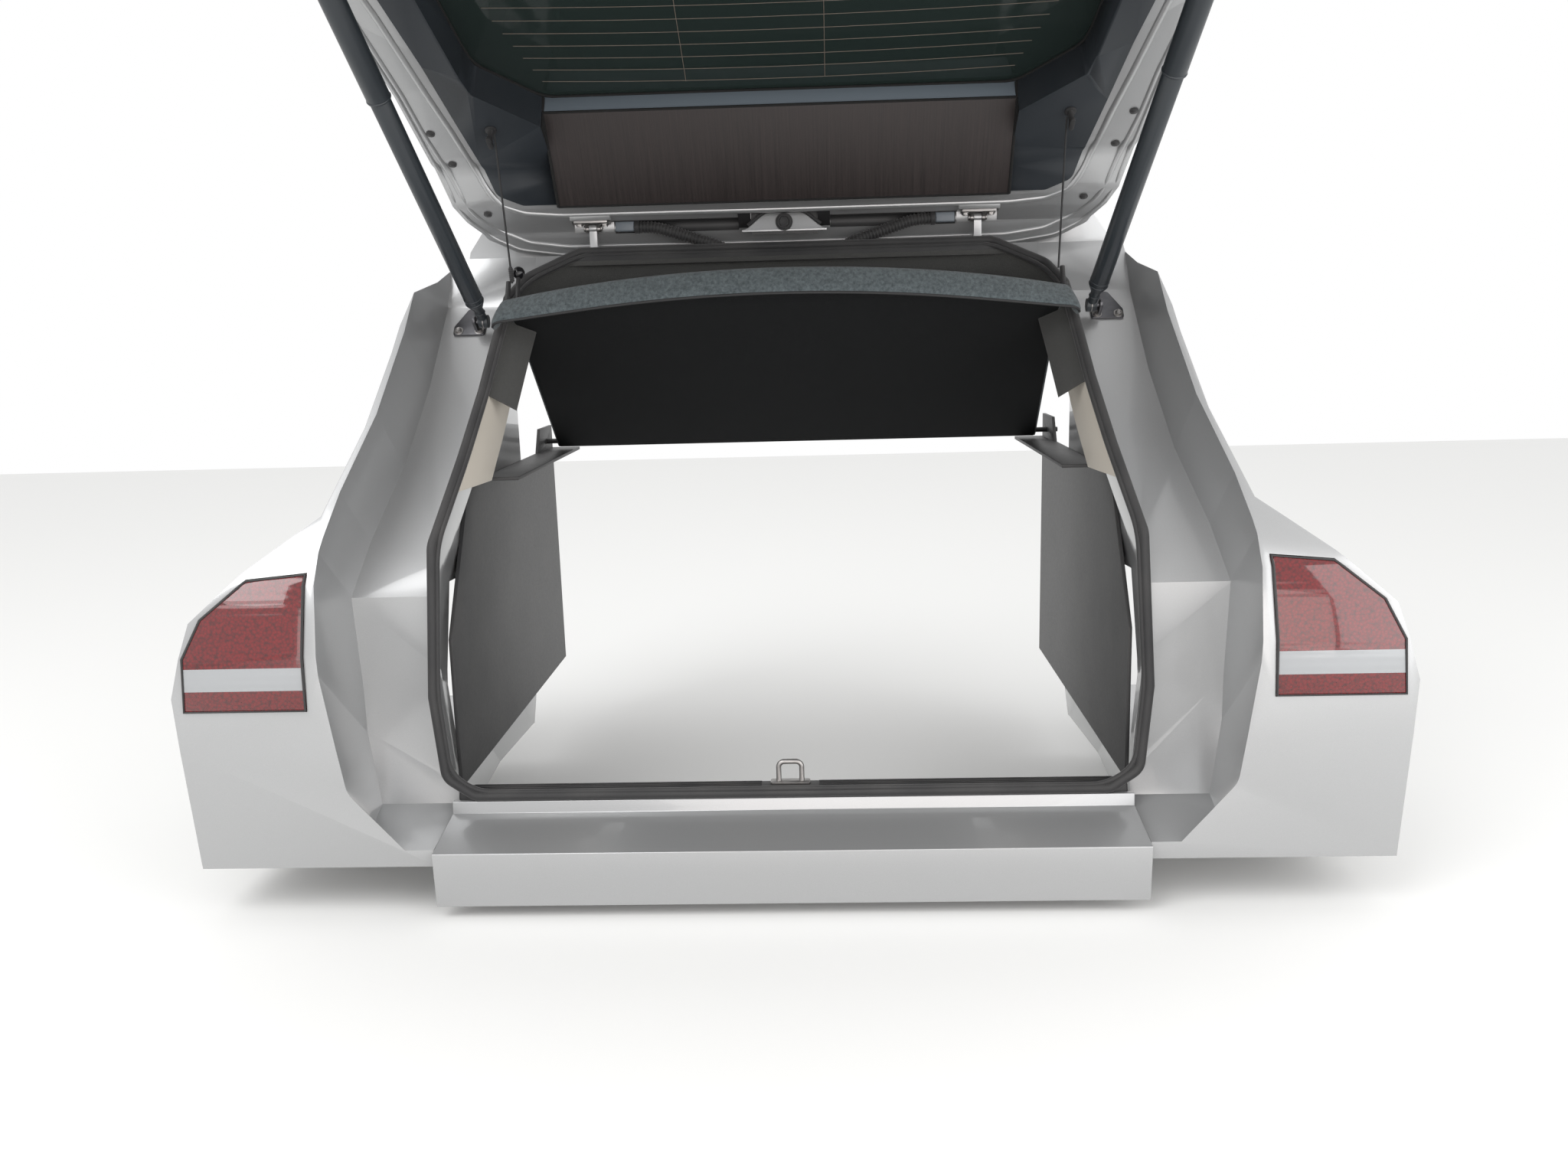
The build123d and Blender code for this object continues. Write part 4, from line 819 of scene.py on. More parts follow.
# plastic, rubber and metal pieces
dressing = {
    "trim_header": ("headerPlastic", 0.0016),
    "trim_side_*": ("sideTrimPlastic", 0.0016),
    "trim_lower": ("sideTrimPlastic", 0.003),
    "side_trim_*": ("blackPlastic", 0.002),
    "sill_trim": ("blackPlastic", 0.003),
    "pillar_trim_*": ("beigePlastic", 0.0015),
    # headliner cloth darkened further as painted shade
    "headliner_edge": ("shadedHeadlinerCloth", 0.002),
    "tail_lamp_*": ("redLens", 0.005),
    "stop_lamp": ("stopLens", 0.0008),
    "handle_bar": ("glossPlastic", 0.002),
    "latch": ("blackPlastic", 0.002),
    "wiper": ("blackPlastic", 0.001),
    "striker": ("zincSteel", 0.0006),
    "hinge_leaf_*": ("zincSteel", 0.0007),
    "strut_bracket_*": ("darkSteel", 0.0007),
    "strut_tube_*": ("strutBlack", 0.001),
    "strut_sleeve_*": ("strutBlack", 0.0014),
    "strut_studs": ("darkSteel", 0.001),
    "cord_studs": ("blackPlastic", 0.0008),
    "harness_plugs": ("greyPlug", 0.002),
    "opening_seal": ("rubber", 0.0),
    "rear_glass": ("darkGlass", 0.0012),
}
for name, (material, edge) in dressing.items():
    for node, side in bothSides(name):
        if name == "trim_side_*":
            roundedCopy(node, material, edge, bends=flangeBends, corner=38, soft=62)
        else:
            roundedCopy(node, material, edge)
print("dressed pieces ready")

# painted highlight on the lip of the header trim, its seams, a painted shadow line along its lower edge and a
# dark line at its upper bend, the dark plates at its ends and the bead round the glass
headerTrim = {
    "half": 0.3778,
    "low": (0.0412, -0.0746),
    "corner": (0.1893, -0.1396),
    "sink": 0.0006,
    "seam": 0.0028,
    "lines": (0.0019, 0.0021),
    "wall": [(-0.120, 0.0262), (-0.2285, 0.0262), (-0.2285, 0.0545), (-0.120, 0.0285)],
}
window = {
    "edge": [(0, -0.229), (0.376, -0.229), (0.470, -0.306), (0.478, -0.343), (0.505, -0.560), (0.515, -0.645),
             (0, -0.645)],
    "n": 0.0862,
    "top": (-0.230, 0.0835),
    "corner": 0.022,
    "bead": 0.0024,
}


# faces of the header trim's upper lip take the lighter lip colour, a painted highlight
def paintHeaderLipHighlight():
    cover = bpy.data.objects["trim_headerSkin"]
    cover.data.materials.append(finishes["lipHighlightPlastic"])
    along = gateSide(0, 1, 0) - gateSide(0, 0, 0)
    for face in cover.data.polygons:
        s = (face.center - gateSide(0, 0, 0)).dot(along)
        if s > headerTrim["corner"][0] + 0.0004:
            face.material_index = 1


def makeHeaderLines():
    half = headerTrim["half"]
    (lowS, lowZ), (cornerS, cornerZ) = headerTrim["low"], headerTrim["corner"]
    pieces = []
    for side in (1, -1):
        seam = [
            gateSide(side * half, lowS, lowZ),
            gateSide(side * half, cornerS, cornerZ + headerTrim["sink"]),
            gatePoint(side * half, *window["top"]),
        ]
        pieces.append(tubeAlong("trimSeam", softCorners(seam, 0.006, 3), headerTrim["seam"], sides=2))
    # the first line, along the trim's lower edge, is a painted shadow; the second is a dark line at its upper
    # bend
    for (s, z), radius in zip((headerTrim["low"], headerTrim["corner"]), headerTrim["lines"]):
        pieces.append(tubeAlong("trimLine", [gateSide(-half, s, z), gateSide(half, s, z)], radius, sides=2))
    origin = gateSide(0, 0, 0)
    along = gateSide(0, 1, 0) - origin
    upward = gateSide(0, 0, 1) - origin
    wall = [slopePlace(t, n) for t, n in headerTrim["wall"]]
    for side in (1, -1):
        endPlane = frameOf(along, upward, along.cross(upward), (side * half, origin.y, origin.z))
        pieces.append(plateShape("trimWall", wall, endPlane, 0.0004, 0))
    edge = [gatePoint(x, t, window["n"]) for x, t in window["edge"]]
    loop = loopAcross(softCorners(edge, window["corner"], 5))
    pieces.append(tubeAlong("glassBead", loop, window["bead"], closed=True, sides=2))
    finish(joinPieces("trimLines", pieces), "gapAndShadowBlack", "tailgate")


paintHeaderLipHighlight()
makeHeaderLines()

# depth of the gate's inner panel at a height t, read off its side view
panelDepth = [
    (-1.2, 0.034),
    (-0.130, 0.034),
    (-0.071, 0.0005),
    (0.0123, 0.003),
    (0.0309, -0.0041),
    (0.0558, -0.0152),
]


def panelN(t):
    for (t0, n0), (t1, n1) in zip(panelDepth, panelDepth[1:]):
        if t <= t1:
            k = (t - t0) / (t1 - t0)
            return between(n0, n1, k)
    return panelDepth[-1][1]


# face view points laid on the inner panel, with more of them on long runs
def onPanel(points, sink):
    laid = []
    for (x0, t0), (x1, t1) in zip(points, points[1:]):
        count = max(1, int(math.hypot(x1 - x0, t1 - t0) / 0.02))
        for step in range(count):
            k = step / count
            t = between(t0, t1, k)
            laid.append(gatePoint(between(x0, x1, k), t, panelN(t) + sink))
    x, t = points[-1]
    laid.append(gatePoint(x, t, panelN(t) + sink))
    return laid


# pressed ridges and the sealed hem of the gate's inner panel
ridges = {
    "outer": [(0, 0.043), (0.385, 0.041), (0.455, 0.031), (0.502, 0.006), (0.528, -0.036), (0.545, -0.085),
              (0.563, -0.140), (0.573, -0.214), (0.579, -0.300), (0.600, -0.460), (0.624, -0.565)],
    "inner": [(0, -0.034), (0.385, -0.036), (0.447, -0.045), (0.480, -0.066), (0.502, -0.100),
              (0.516, -0.140), (0.526, -0.214), (0.541, -0.300), (0.566, -0.460), (0.588, -0.565)],
    "hem": [(0, 0.0565), (0.397, 0.0545), (0.474, 0.043), (0.520, 0.018), (0.545, -0.028), (0.560, -0.082),
            (0.577, -0.142), (0.587, -0.300), (0.607, -0.460), (0.631, -0.565)],
}
ridgeShape = {"outer": (0.0050, 0.0022), "inner": (0.0065, 0.0030), "hem": (0.0035, 0.0012)}
ridgeEnd = {"x": 0.004, "t": -0.02, "n": -0.012}


def makeRidges():
    pieces = []
    for name, line in ridges.items():
        radius, sink = ridgeShape[name]
        x, t = line[-1]
        sunk = gatePoint(x + ridgeEnd["x"], t + ridgeEnd["t"], panelN(t) + sink + ridgeEnd["n"])
        path = acrossCar(onPanel(line, sink) + [sunk])
        pieces.append(tubeAlong(name + "Ridge", softCorners(path, 0.02, 3), radius))
    finish(joinPieces("panelRidges", pieces), "bodyPaint", "tailgate")


makeRidges()

# painted shade: dark liners laid in the two harness recesses, where shade falls
recess = {"radius": 0.0166, "x": (0.080, 0.298), "wall": 0.0007, "turn": (-30, 146), "steps": 14}


def makeRecessShadeLiners():
    profile = []
    radius = recess["radius"]
    for step in range(recess["steps"] + 1):
        angle = math.radians(between(*recess["turn"], step / recess["steps"]))
        profile.append((gateTurn["pinY"] + radius * math.cos(angle), radius * math.sin(angle)))
    pieces = []
    for side in (1, -1):
        low, high = sorted(side * x for x in recess["x"])
        pieces.append(stripAcross("liner", profile, low, high, recess["wall"]))
    finish(joinPieces("recessShadeLiners", pieces), "blackPlastic", "tailgate")


makeRecessShadeLiners()

# niche in the middle, lined dark as painted shade; its lines are (y behind the pin, z)
niche = {
    "half": 0.0575,
    "wall": 0.0006,
    "back": [(-0.0064, 0.0184), (-0.0064, -0.0190)],
    "top": [(-0.0066, 0.0186), (-0.0262, 0.0186)],
    "web": [(0.0115, -0.0052), (-0.0245, 0.0158), (-0.0270, 0.0182)],
    "webX": (0.0577, 0.0795),
}


# dark sheets on the niche's back, top and side webs stand for the shade inside it
def makeNicheShade():
    lines = {}
    for part in ("back", "top", "web"):
        lines[part] = [(gateTurn["pinY"] + y, z) for y, z in niche[part]]
    half = niche["half"]
    dark = [stripAcross("niche", lines[part], -half, half, niche["wall"]) for part in ("back", "top")]
    for side in (1, -1):
        low, high = sorted(side * x for x in niche["webX"])
        dark.append(stripAcross("nicheWeb", lines["web"], low, high, niche["wall"]))
    finish(joinPieces("nicheShadeLiner", dark), "blackPlastic", "tailgate")


# pressed boss in the niche and the dark arc over it, a painted shadow line where the dark recess runs over
# the boss
boss = {
    "face": 0.0060,
    "proud": 0.0045,
    "low": -0.0145,
    "top": 0.0165,
    "flat": 0.026,
    "foot": 0.074,
    "steps": 36,
    "edge": 0.0014,
    "arc": 0.0030,
    "arcWide": 1.03,
}


# height of the boss's edge across the car: a flat top with a soft slope each side
def bossHeight(x):
    away = (abs(x) - boss["flat"]) / (boss["foot"] - boss["flat"])
    k = min(max(away, 0), 1)
    return boss["top"] + (boss["low"] + 0.004 - boss["top"]) * (3 * k * k - 2 * k**3)


def makeBoss():
    face = gateTurn["pinY"] - boss["face"]
    top = []
    for i in range(boss["steps"] + 1):
        x = -boss["foot"] + 2 * boss["foot"] * i / boss["steps"]
        top.append((x, bossHeight(x)))
    outline = [(-boss["foot"], boss["low"])] + top + [(boss["foot"], boss["low"])]
    depth = boss["proud"] + 0.004
    facing = frameOf((1, 0, 0), (0, 0, 1), (0, -1, 0), (0, face - boss["proud"] + depth / 2, 0))
    hill = plateShape("centreBoss", outline, facing, depth, boss["edge"])
    finish(hill, "bodyPaint", "tailgate")
    # painted shade: a dark rubber line along the boss's top edge
    arc = [Vector((x * boss["arcWide"], face - boss["arc"], z + boss["arc"])) for x, z in top[3:-3]]
    shadeArc = tubeAlong("bossShadeArc", softCorners(arc, 0.01, 2), boss["arc"])
    finish(shadeArc, "rubber", "tailgate")


makeNicheShade()
makeBoss()

# ribbed gaiters over the gate's wiring: the right one's line is (x, y behind the pin, z)
gaiter = {
    "line": [(0.2617, 0, 0), (0.226, -0.001, -0.0005), (0.116, -0.003, -0.0350), (0.098, 0.004, -0.0466)],
    "bend": 0.03,
    "core": 0.0088,
    "rib": 0.0098,
    "ribR": 0.0017,
    "first": 0.006,
    "pitch": 0.0058,
    "cuff": 0.0112,
    "cuffL": 0.008,
}


def makeGaiters():
    pin = Vector((0, gateTurn["pinY"], 0))
    right = softCorners([Vector(stop) + pin for stop in gaiter["line"]], gaiter["bend"], 6)
    ring = gaiter["rib"] - gaiter["ribR"] / 2
    pieces = []
    for side in (1, -1):
        line = [Vector((side * p.x, p.y, p.z)) for p in right]
        pieces.append(tubeAlong("gaiterCore", line, gaiter["core"], sides=4))
        walked = gaiter["first"]
        for start, end in zip(line, line[1:]):
            run = end - start
            while walked < run.length:
                spot = start + run.normalized() * walked
                pieces.append(turnedRing("gaiterRib", spot, run, ring, gaiter["ribR"], 20, 6))
                walked += gaiter["pitch"]
            walked -= run.length
        for spot, axis, way in ((line[0], line[1] - line[0], 1), (line[-1], line[-1] - line[-2], -1)):
            centre = spot + axis.normalized() * way * gaiter["cuffL"] / 2
            cuff = roundDisc("gaiterCuff", centre, axis, gaiter["cuff"], gaiter["cuffL"], 0.0012, sides=28)
            pieces.append(cuff)
    joined = joinPieces("ribbedGaiters", pieces)
    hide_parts("harness_gaiters")
    finish(joined, "rubber", bodyOf["harness_gaiters"])


makeGaiters()

# plugs in the flange at (x, t, n), and the grommet on the centre boss: each of its rings is its
# height and what roundDisc or turnedRing takes
plugs = {
    "rim": (0.007, 0.0018, 0.0006),
    "dome": (0.0052, 24, 12, 60, 0.55),
    "places": [(0.509, -0.048, -0.0004), (0.547, -0.139, 0.0329), (0.561, -0.214, 0.0329)],
    "grommet": (0.0107, 0.001),
    "flange": (0.0015, 0.015, 0.003, 0.0010, 0.0035, 0.001),
    "bead": (0.0036, 0.0105, 0.0020),
    "core": (0.0038, 0.0080, 0.0040, 0.0012, 0.003, 0.0015),
}


def makePlugs():
    pieces = []
    for side in (1, -1):
        for x, t, n in plugs["places"]:
            centre = gatePoint(side * x, t, n)
            pieces.append(roundDisc("plugRim", centre, -gateOut, *plugs["rim"], sides=28))
            pieces.append(roundBall("plugDome", centre, *plugs["dome"], along=-gateOut))
    face = bodySide(0, *plugs["grommet"])
    back = Vector((0, -1, 0))
    for part, shape in (("flange", roundDisc), ("bead", turnedRing), ("core", roundDisc)):
        height, *size = plugs[part]
        pieces.append(shape(part, face + back * height, back, *size))
    joined = joinPieces("flangePlugs", pieces)
    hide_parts("flange_plugs")
    finish(joined, "rubber", "tailgate")


makePlugs()
print("gate's flange ready")

# opening seal's bulb line as (x, s, z), and its carrier lip inside the bulb
sealLine = [
    (0, 0.018, -0.0397),
    (0.358, 0.018, -0.0397),
    (0.446, 0.0469, -0.0808),
    (0.471, 0.0949, -0.1162),
    (0.481, 0.1622, -0.1902),
    (0.491, 0.2265, -0.2668),
    (0.509, 0.3101, -0.3664),
    (0.536, 0.4129, -0.4890),
    (0.546, 0.436, -0.720),
    (0.534, 0.441, -0.850),
    (0.490, 0.441, -0.8807),
    (0, 0.441, -0.8807),
]
sealLip = {"radius": 0.0042, "inward": 0.0085, "forward": 0.002}


def makeSealLip():
    centre = Vector((0, gateTurn["pinY"] - 0.27, -0.46))
    line = []
    for x, s, z in sealLine:
        spot = bodySide(x, s, z)
        towards = (centre - spot) if x > 0.3 else Vector((0, -0.35, -1.0 if z > -0.5 else 1.0))
        line.append(spot + towards.normalized() * sealLip["inward"])
    lip = tubeAlong("sealLip", loopAcross(softCorners(line, 0.03, 5)), sealLip["radius"], closed=True)
    finish(lip, "rubber", "body_shell")


makeSealLip()

# cloth band that hangs behind the bulb along the top of the opening and round its corners, in the headliner
# cloth darkened as painted shade
cornerBand = {"outer": 0.002, "inner": 0.046, "back": 0.004, "deep": 0.046, "wall": 0.003, "stops": 6}


def makeCornerBands():
    plane = Vector((0, -math.sin(gateTurn["slope"]), math.cos(gateTurn["slope"])))
    line = softCorners([bodySide(*stop) for stop in sealLine[:cornerBand["stops"]]], 0.03, 5)
    wall = plane * cornerBand["wall"]
    sections = []
    for i, spot in enumerate(line):
        inward = runAt(line, i).normalized().cross(plane)
        outer = spot + inward * cornerBand["outer"] - plane * cornerBand["back"]
        inner = spot + inward * cornerBand["inner"] - plane * cornerBand["deep"]
        sections.append([outer, inner, inner - wall, outer - wall])
    pieces = [
        meshFromSections("cornerBand", sections),
        meshFromSections("cornerBand", [mirrored(section) for section in sections]),
    ]
    for piece in pieces:
        smooth(piece, 50)
    finish(joinPieces("cornerBands", pieces), "shadedHeadlinerCloth", "body_shell")


makeCornerBands()

# painted fillets between the roof platform's ends and the seal, and the roof seams beside them
filletSet = {
    "x": (0.372, 0.434),
    "steps": 7,
    "top": (0.0252, -0.0462),
    "low": (0.0005, -0.004),
    "wall": 0.002,
}
roofSeam = {"x": 0.4303, "radius": 0.0009, "line": [(-0.020, -0.0469), (0.0246, -0.0466), (0.0262, -0.0560)]}


def makeRoofCorners():
    (x0, s0, z0), (x1, s1, z1) = sealLine[1:3]
    lowS, lowZ = filletSet["low"]
    inward = Vector((0, filletSet["wall"], 0))
    fillets = []
    seams = []
    for side in (1, -1):
        sections = []
        for i in range(filletSet["steps"] + 1):
            x = between(*filletSet["x"], i / filletSet["steps"])
            k = (x - x0) / (x1 - x0)
            top = bodySide(side * x, *filletSet["top"])
            low = bodySide(side * x, between(s0, s1, k) + lowS, between(z0, z1, k) + lowZ)
            sections.append([top, low, low + inward, top + inward])
        fillets.append(meshFromSections("roofCorner", sections))
        points = [bodySide(side * roofSeam["x"], s, z) for s, z in roofSeam["line"]]
        seams.append(tubeAlong("roofSeam", points, roofSeam["radius"], sides=2))
    for piece in fillets:
        smooth(piece, 40)
    finish(joinPieces("roofCorners", fillets), "bodyPaint", "body_shell")
    finish(joinPieces("roofSeams", seams), "rubber", "body_shell")


makeRoofCorners()

# flange strip that hides the raw edge of the roof panel under the bulb, as (y, z) from its top
edgeStrip = {
    "place": (0.0262, -0.0478),
    "line": [(0.0015, 0), (0, -0.003), (0, -0.0112), (0.006, -0.0132)],
    "half": 0.368,
    "wall": 0.0018,
    "edge": 0.0004,
}


def makeEdgeStrip():
    start = bodySide(0, *edgeStrip["place"])
    line = [(start.y + y, start.z + z) for y, z in edgeStrip["line"]]
    half = edgeStrip["half"]
    strip = stripAcross("edgeStrip", line, -half, half, edgeStrip["wall"], edgeStrip["edge"])
    finish(strip, "rubber", "body_shell")


makeEdgeStrip()

# heating lines with their two ties, and the printed border of the glass
heater = {
    "t": (-0.262, -0.618),
    "count": 15,
    "steps": 8,
    "bow": 0.010,
    "n": 0.0876,
    "half": 0.372,
    "spread": 0.133,
    "widest": 0.50,
    "radius": 0.0004,
    "ties": (-0.145, 0.075),
}
border = {"width": 0.020, "gap": 0.0003, "ink": 0.0002}


def makeHeater():
    pieces = []
    steps = heater["steps"]
    for i in range(heater["count"]):
        k = i / (heater["count"] - 1)
        t = between(*heater["t"], k)
        half = min(heater["half"] + heater["spread"] * k, heater["widest"])
        line = []
        for step in range(-steps, steps + 1):
            bowed = t + heater["bow"] * (1 - (step / steps) ** 2)
            line.append(gatePoint(half * step / steps, bowed, heater["n"]))
        pieces.append(tubeAlong("heaterLine", line, heater["radius"], sides=1))
    first, last = heater["t"]
    for x in heater["ties"]:
        line = [gatePoint(x, t, heater["n"]) for t in (first + heater["bow"], last)]
        pieces.append(tubeAlong("heaterTie", line, heater["radius"], sides=1))
    finish(joinPieces("heaterLines", pieces), "heaterAmber", "tailgate")


def makeBorder():
    piece = copyNode("rear_glass", "glassBorder")
    selectFaces(piece, lambda face: face.normal.dot(-gateOut) < 0.99)
    bpy.ops.mesh.delete(type="FACE")
    bpy.ops.mesh.select_all(action="SELECT")
    bpy.ops.mesh.inset(thickness=border["width"])
    bpy.ops.mesh.delete(type="FACE")
    bpy.ops.mesh.select_all(action="SELECT")
    bpy.ops.transform.translate(value=-gateOut * border["gap"])
    bpy.ops.object.mode_set(mode="OBJECT")
    wall = piece.modifiers.new("ink", "SOLIDIFY")
    wall.thickness = border["ink"]
    applyModifiers(piece)
    finish(piece, "ceramicBlack", "tailgate")


makeHeater()
makeBorder()
print("glass ready")


# hexagon bolt on a round flange: each is its height and what roundDisc takes
def makeBolt(spot, outward, sizes):
    parts = []
    for part, sides in (("flange", 28), ("head", 6)):
        height, *size = sizes[part]
        parts.append(roundDisc(part, spot + outward * height, outward, *size, sides=sides))
    return parts


# bolts and pin heads of the hinges, then those of the strut brackets
hinge = {
    "x": 0.335,
    "boltX": 0.022,
    "boltPlace": (0.008, 0.0035),
    "flange": (-0.0032, 0.0078, 0.0012, 0.0004),
    "head": (0, 0.0054, 0.0040, 0.0007, 0.0022, 0.0012),
    "pinX": 0.0148,
    "pin": (0.0058, 0.0024, 0.0008),
}
bracketBolts = {
    "places": [(0.562, -0.186), (0.526, -0.186)],
    "n": -0.0427,
    "flange": (0.0004, 0.0082, 0.0014, 0.0004),
    "head": (0.0028, 0.0057, 0.0046, 0.0007, 0.0022, 0.0014),
}


def makeHingeBolts():
    pieces = []
    for side in (1, -1):
        for shift in (-1, 1):
            spot = bodySide(side * hinge["x"] + shift * hinge["boltX"], *hinge["boltPlace"])
            pieces += makeBolt(spot, Vector((0, 0, -1)), hinge)
        for shift in (-1, 1):
            spot = bodySide(side * hinge["x"] + shift * hinge["pinX"], 0, 0)
            pieces.append(roundDisc("pinHead", spot, (shift, 0, 0), *hinge["pin"], sides=28))
    finish(joinPieces("hingeBolts", pieces), "zincSteel", "tailgate")


makeHingeBolts()

# rings and clips of the struts: a ring is its way along the strut and what turnedRing takes
strut = {
    "low": (0.5135, -0.250, -0.155),
    "high": (0.585, -0.743, 0.341),
    "foot": [(0.047, 0.0146, 0.0017), (0.056, 0.0150, 0.0011), (0.021, 0.0078, 0.0016, 24, 8)],
    "sleeve": [(0.4402, 0.0166, 0.0019), (0.667, 0.0166, 0.0019)],
    "clip": (0.0112, 0.0009),
}


def makeStrutDetails():
    for side, word in ((1, "right"), (-1, "left")):
        low, high = (Vector((side * x, y, z)) for x, y, z in (strut["low"], strut["high"]))
        axis = (high - low).normalized()
        foot = [turnedRing("footRing", low + axis * way, axis, *size) for way, *size in strut["foot"]]
        finish(joinPieces("strutFoot" + word.title(), foot), "strutBlack", "tube_" + word)
        clip = turnedRing("socketClip", low, (1, 0, 0), *strut["clip"], 28, 6)
        finish(clip, "zincSteel", "tube_" + word)
        sleeve = [turnedRing("sleeveRing", low + axis * way, axis, *size) for way, *size in strut["sleeve"]]
        rings = joinPieces("sleeveRings" + word.title(), sleeve)
        finish(rings, "strutBlack", "sleeve_" + word)


def makeBracketBolts():
    pieces = []
    outward = (bodyFace(0, 0, 1) - bodyFace(0, 0, 0)).normalized()
    for side in (1, -1):
        for x, t in bracketBolts["places"]:
            spot = bodyFace(side * x, t, bracketBolts["n"])
            pieces += makeBolt(spot, outward, bracketBolts)
    finish(joinPieces("bracketBolts", pieces), "zincSteel", "body_shell")


makeStrutDetails()
makeBracketBolts()
print("hinges and struts ready")

# parcel shelf: felt board and rim with swept ends, black underside, pins and posts
shelf = {
    "rise": math.radians(28.1),
    "pinY": 0.210,
    "pinZ": -0.400,
    "half": 0.470,
    "corner": -0.590,
    "length": 0.672,
    "bowAngle": 16.8,
    "waist": (0.459, -0.518),
    "front": 0.498,
    "frontEnd": 0.009,
    "thick": 0.009,
    "inset": 0.005,
    "topEdge": 0.0015,
    "under": {"share": 0.992, "shift": 0.004, "sink": 0.0008, "depth": 0.0024, "edge": 0.0004},
    "rimLow": -0.046,
    "flare": (0.002, 0.012, 6),
    "piping": (0.0035, 0.0022),
    "pin": (0.486, 0.543, 0.005),
    "post": (0.4585, -0.580),
    "postFoot": (-0.002, 0.009, 0.0072, 5),
    "postStem": (0.008, 0.039, 0.0043, 4),
}


# place on the shelf: y ahead of its pivots and z above its top, turned down with its rise
def shelfPoint(x, y, z):
    cosR = math.cos(shelf["rise"])
    sinR = math.sin(shelf["rise"])
    return Vector((x, shelf["pinY"] + y * cosR + z * sinR, shelf["pinZ"] - y * sinR + z * cosR))


def shelfFrame(z):
    origin = shelfPoint(0, 0, z)
    return frameOf((1, 0, 0), shelfPoint(0, 1, z) - origin, shelfPoint(0, 0, z + 1) - origin, origin)


# rear edge of the board in its own plane: a bow across the car with a swept corner each side
def shelfRearLine():
    bow = shelf["length"] + shelf["corner"]
    radius = (shelf["half"] ** 2 + bow**2) / (2 * bow)
    half = []
    for i in range(10):
        turn = math.radians(shelf["bowAngle"] * i / 9)
        half.append((radius * math.sin(turn), -shelf["length"] + radius * (1 - math.cos(turn)), 0))
    half.append((shelf["half"], shelf["corner"], 0))
    half.append((shelf["half"] - 0.001, shelf["corner"] + 0.024, 0))
    return softCorners(acrossCar(half), 0.036, 5)


# direction straight out of the rear edge at its point i
def rearOutward(rear, i):
    run = runAt(rear, i)
    return Vector((run.y, -run.x, 0)).normalized()


# how far the rim leans out at a place across the car
def rimFlare(x):
    least, more, power = shelf["flare"]
    return least + more * (abs(x) / shelf["half"]) ** power


# cross section of the rim as (way out, height)
def rimSection(flare):
    low = shelf["rimLow"]
    return [
        (-0.012, 0.0012),
        (-0.003, 0.0018),
        (0.0006, -0.004),
        (0.002 + flare * 0.5, low * 0.5),
        (0.001 + flare, low + 0.004),
        (-0.003 + flare, low - 0.001),
        (-0.009 + flare, low + 0.003),
        (-0.011 + flare * 0.5, low * 0.5),
    ]


def makeBoard(rear):
    half = [(shelf["waist"][0], shelf["waist"][1]), (shelf["front"], 0), (shelf["front"], shelf["frontEnd"])]
    front = [Vector((x, y, 0)) for x, y in half]
    board = [spot - rearOutward(rear, i) * shelf["inset"] for i, spot in enumerate(rear)]
    board += front + mirrored(reversed(front))
    thick = shelf["thick"]
    top = plateShape("shelfBoard", board, shelfFrame(-thick / 2), thick, shelf["topEdge"])
    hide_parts("parcel_shelf")
    finish(top, "shelfFelt", "shelf")
    under = shelf["under"]
    middle = shelf["corner"] / 2
    lower = []
    for p in board:
        shift = under["shift"] if p.y < middle else -under["shift"]
        lower.append(Vector((p.x * under["share"], p.y + shift, 0)))
    place = shelfFrame(-thick - under["sink"])
    lining = plateShape("shelfUnderside", lower, place, under["depth"], under["edge"])
    finish(lining, "underFelt", "shelf")


def makeRim(rear):
    sections = []
    for i, spot in enumerate(rear):
        outward = rearOutward(rear, i)
        ring = rimSection(rimFlare(spot.x))
        sections.append([shelfPoint(*(spot + outward * out).to_2d(), height) for out, height in ring])
    rim = meshFromSections("shelfRim", sections)
    soft = rim.modifiers.new("soft", "SUBSURF")
    soft.levels = 1
    soft.render_levels = 1
    applyModifiers(rim)
    smooth(rim, 60)
    finish(rim, "shelfFelt", "shelf")
    seam = []
    inside, radius = shelf["piping"]
    for i, spot in list(enumerate(rear))[2:-2]:
        place = spot + rearOutward(rear, i) * (rimFlare(spot.x) - inside)
        seam.append(shelfPoint(*place.to_2d(), shelf["rimLow"]))
    finish(tubeAlong("rimPiping", seam, radius, sides=2), "cordBlack", "shelf")


def makeShelfPins():
    inner, outer, radius = shelf["pin"]
    pins = []
    for side in (1, -1):
        line = [shelfPoint(side * inner, 0, 0), shelfPoint(side * outer, 0, 0)]
        pins.append(tubeAlong("shelfPin", line, radius, sides=4))
        x, y = shelf["post"]
        for low, high, thick, sides in (shelf["postFoot"], shelf["postStem"]):
            line = [shelfPoint(side * x, y, low), shelfPoint(side * x, y, high)]
            pins.append(tubeAlong("post", line, thick, sides=sides))
    finish(joinPieces("shelfPins", pins), "blackPlastic", "shelf")


rearLine = shelfRearLine()
makeBoard(rearLine)
makeRim(rearLine)
makeShelfPins()

# shelf cords, the left one with its rubber ball on the shelf and its ribbed sleeve
cord = {
    "x": 0.452,
    "top": (0.186, 0.1327),
    "end": (0.1342, -0.0942),
    "sleeve": (0.002, 0.027, 0.0029),
    "ribs": (7, 0.004, 0.0032),
    "rib": (0.0030, 0.0014),
    "ball": 0.0105,
    "ballPlace": (-0.4425, -0.580, 0.0560),
    "neck": [(-0.4425, -0.579, -0.002), (-0.4425, -0.580, 0.050)],
    "neckR": 0.0036,
}


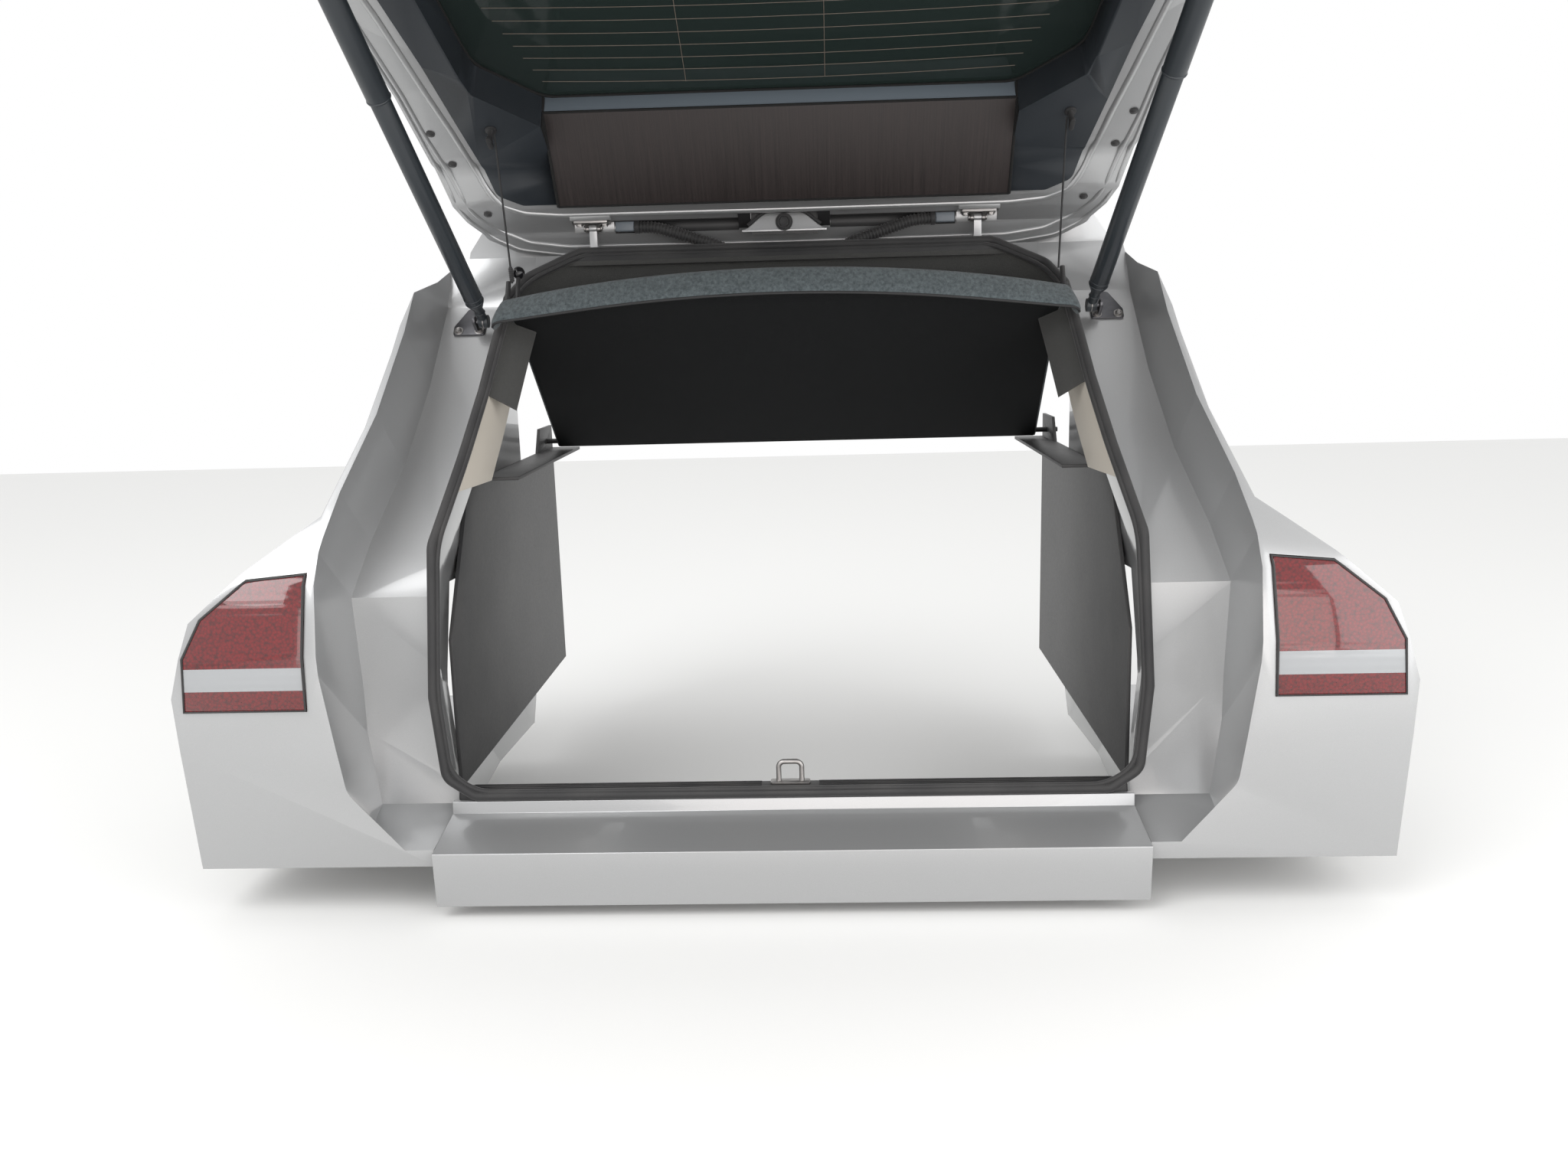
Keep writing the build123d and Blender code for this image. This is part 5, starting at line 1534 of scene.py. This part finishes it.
def makeCords():
    for word in ("right", "left"):
        roundedCopy("shelf_cord_" + word, "cordBlack", 0.0)
    top = bodySide(-cord["x"], *cord["top"])
    end = bodySide(-cord["x"], *cord["end"])
    axis = (end - top).normalized()
    count, first, pitch = cord["ribs"]
    low, high, radius = cord["sleeve"]
    rings = []
    for i in range(count):
        rings.append(turnedRing("sleeveRib", end - axis * (first + pitch * i), axis, *cord["rib"], 18, 6))
    rings.append(tubeAlong("sleeveCore", [end - axis * low, end - axis * high], radius))
    finish(joinPieces("cordSleeve", rings), "rubber", "cord_left")
    ball = roundBall("cordBall", shelfPoint(*cord["ballPlace"]), cord["ball"], 32, 18, 80)
    finish(ball, "glossPlastic", "shelf")
    neck = tubeAlong("ballNeck", [shelfPoint(*stop) for stop in cord["neck"]], cord["neckR"])
    finish(neck, "blackPlastic", "shelf")


makeCords()
print("shelf and cords ready")

# wiper's hub cap and blade, lamp seals
wiper = {
    "hub": (0, -0.655, 0.1085),
    "cap": (0.0125, 0.005, 0.0018),
    "blade": [(0.055, -0.637, 0.0932), (0.365, -0.637, 0.0932)],
    "rubber": 0.0013,
}
lampSeal = {"facing": Vector((0, -1, 0)), "radius": 0.0018}


def makeWiperDetails():
    line = [gatePoint(*stop) for stop in wiper["blade"]]
    pieces = [
        roundDisc("hubCap", gatePoint(*wiper["hub"]), gateOut, *wiper["cap"]),
        tubeAlong("bladeRubber", line, wiper["rubber"], sides=2),
    ]
    finish(joinPieces("wiperDetails", pieces), "rubber", "wiper_arm")


def makeLampSeals():
    pieces = []
    for side in ("right", "left"):
        pieces.append(outlineTube("tail_lamp_" + side, "lampSeal", lampSeal["facing"], lampSeal["radius"]))
    finish(joinPieces("lampSeals", pieces), "rubber", "body_shell")


makeWiperDetails()
makeLampSeals()

# claw in the latch as (s, z), rubber stops at the gate's lower corners and ribs on the sill
claw = {
    "line": [(0.399, -0.866), (0.398, -0.846), (0.402, -0.834), (0.414, -0.834), (0.418, -0.846),
             (0.417, -0.858)],
    "radius": 0.0026,
}
gateStops = {
    "place": (0.588, 0.456, -0.800),
    "radius": 0.013,
    "tall": 0.012,
    "steps": ((0.25, 1.0), (0.75, 0.72)),
}
sillRibs = {"s": (0.404, 0.426), "count": 4, "z": -0.8757, "x": (0.045, 0.500), "radius": 0.0012}


def makeLatchClaw():
    line = softCorners([gateSide(0, s, z) for s, z in claw["line"]], 0.006, 3)
    finish(tubeAlong("latchClaw", line, claw["radius"]), "zincSteel", "tailgate")


def makeGateStops():
    pieces = []
    tall = gateStops["tall"]
    x, s, z = gateStops["place"]
    panel = bpy.data.objects["tailgate_innerSkin"]
    for side in (1, -1):
        spot, normal = panel.closest_point_on_mesh(gateSide(side * x, s, z))[1:3]
        for k, share in gateStops["steps"]:
            size = gateStops["radius"] * share
            centre = spot + normal * tall * k
            pieces.append(roundDisc("gateStop", centre, normal, size, tall * 0.55, 0.0018, sides=28))
    finish(joinPieces("gateStops", pieces), "rubber", "tailgate")


def makeSillRibs():
    pieces = []
    for i in range(sillRibs["count"]):
        s = between(*sillRibs["s"], i / (sillRibs["count"] - 1))
        for side in (1, -1):
            line = [bodySide(side * x, s, sillRibs["z"]) for x in sillRibs["x"]]
            pieces.append(tubeAlong("sillRib", line, sillRibs["radius"], sides=2))
    finish(joinPieces("sillRibs", pieces), "blackPlastic", "body_shell")


makeLatchClaw()
makeGateStops()
makeSillRibs()
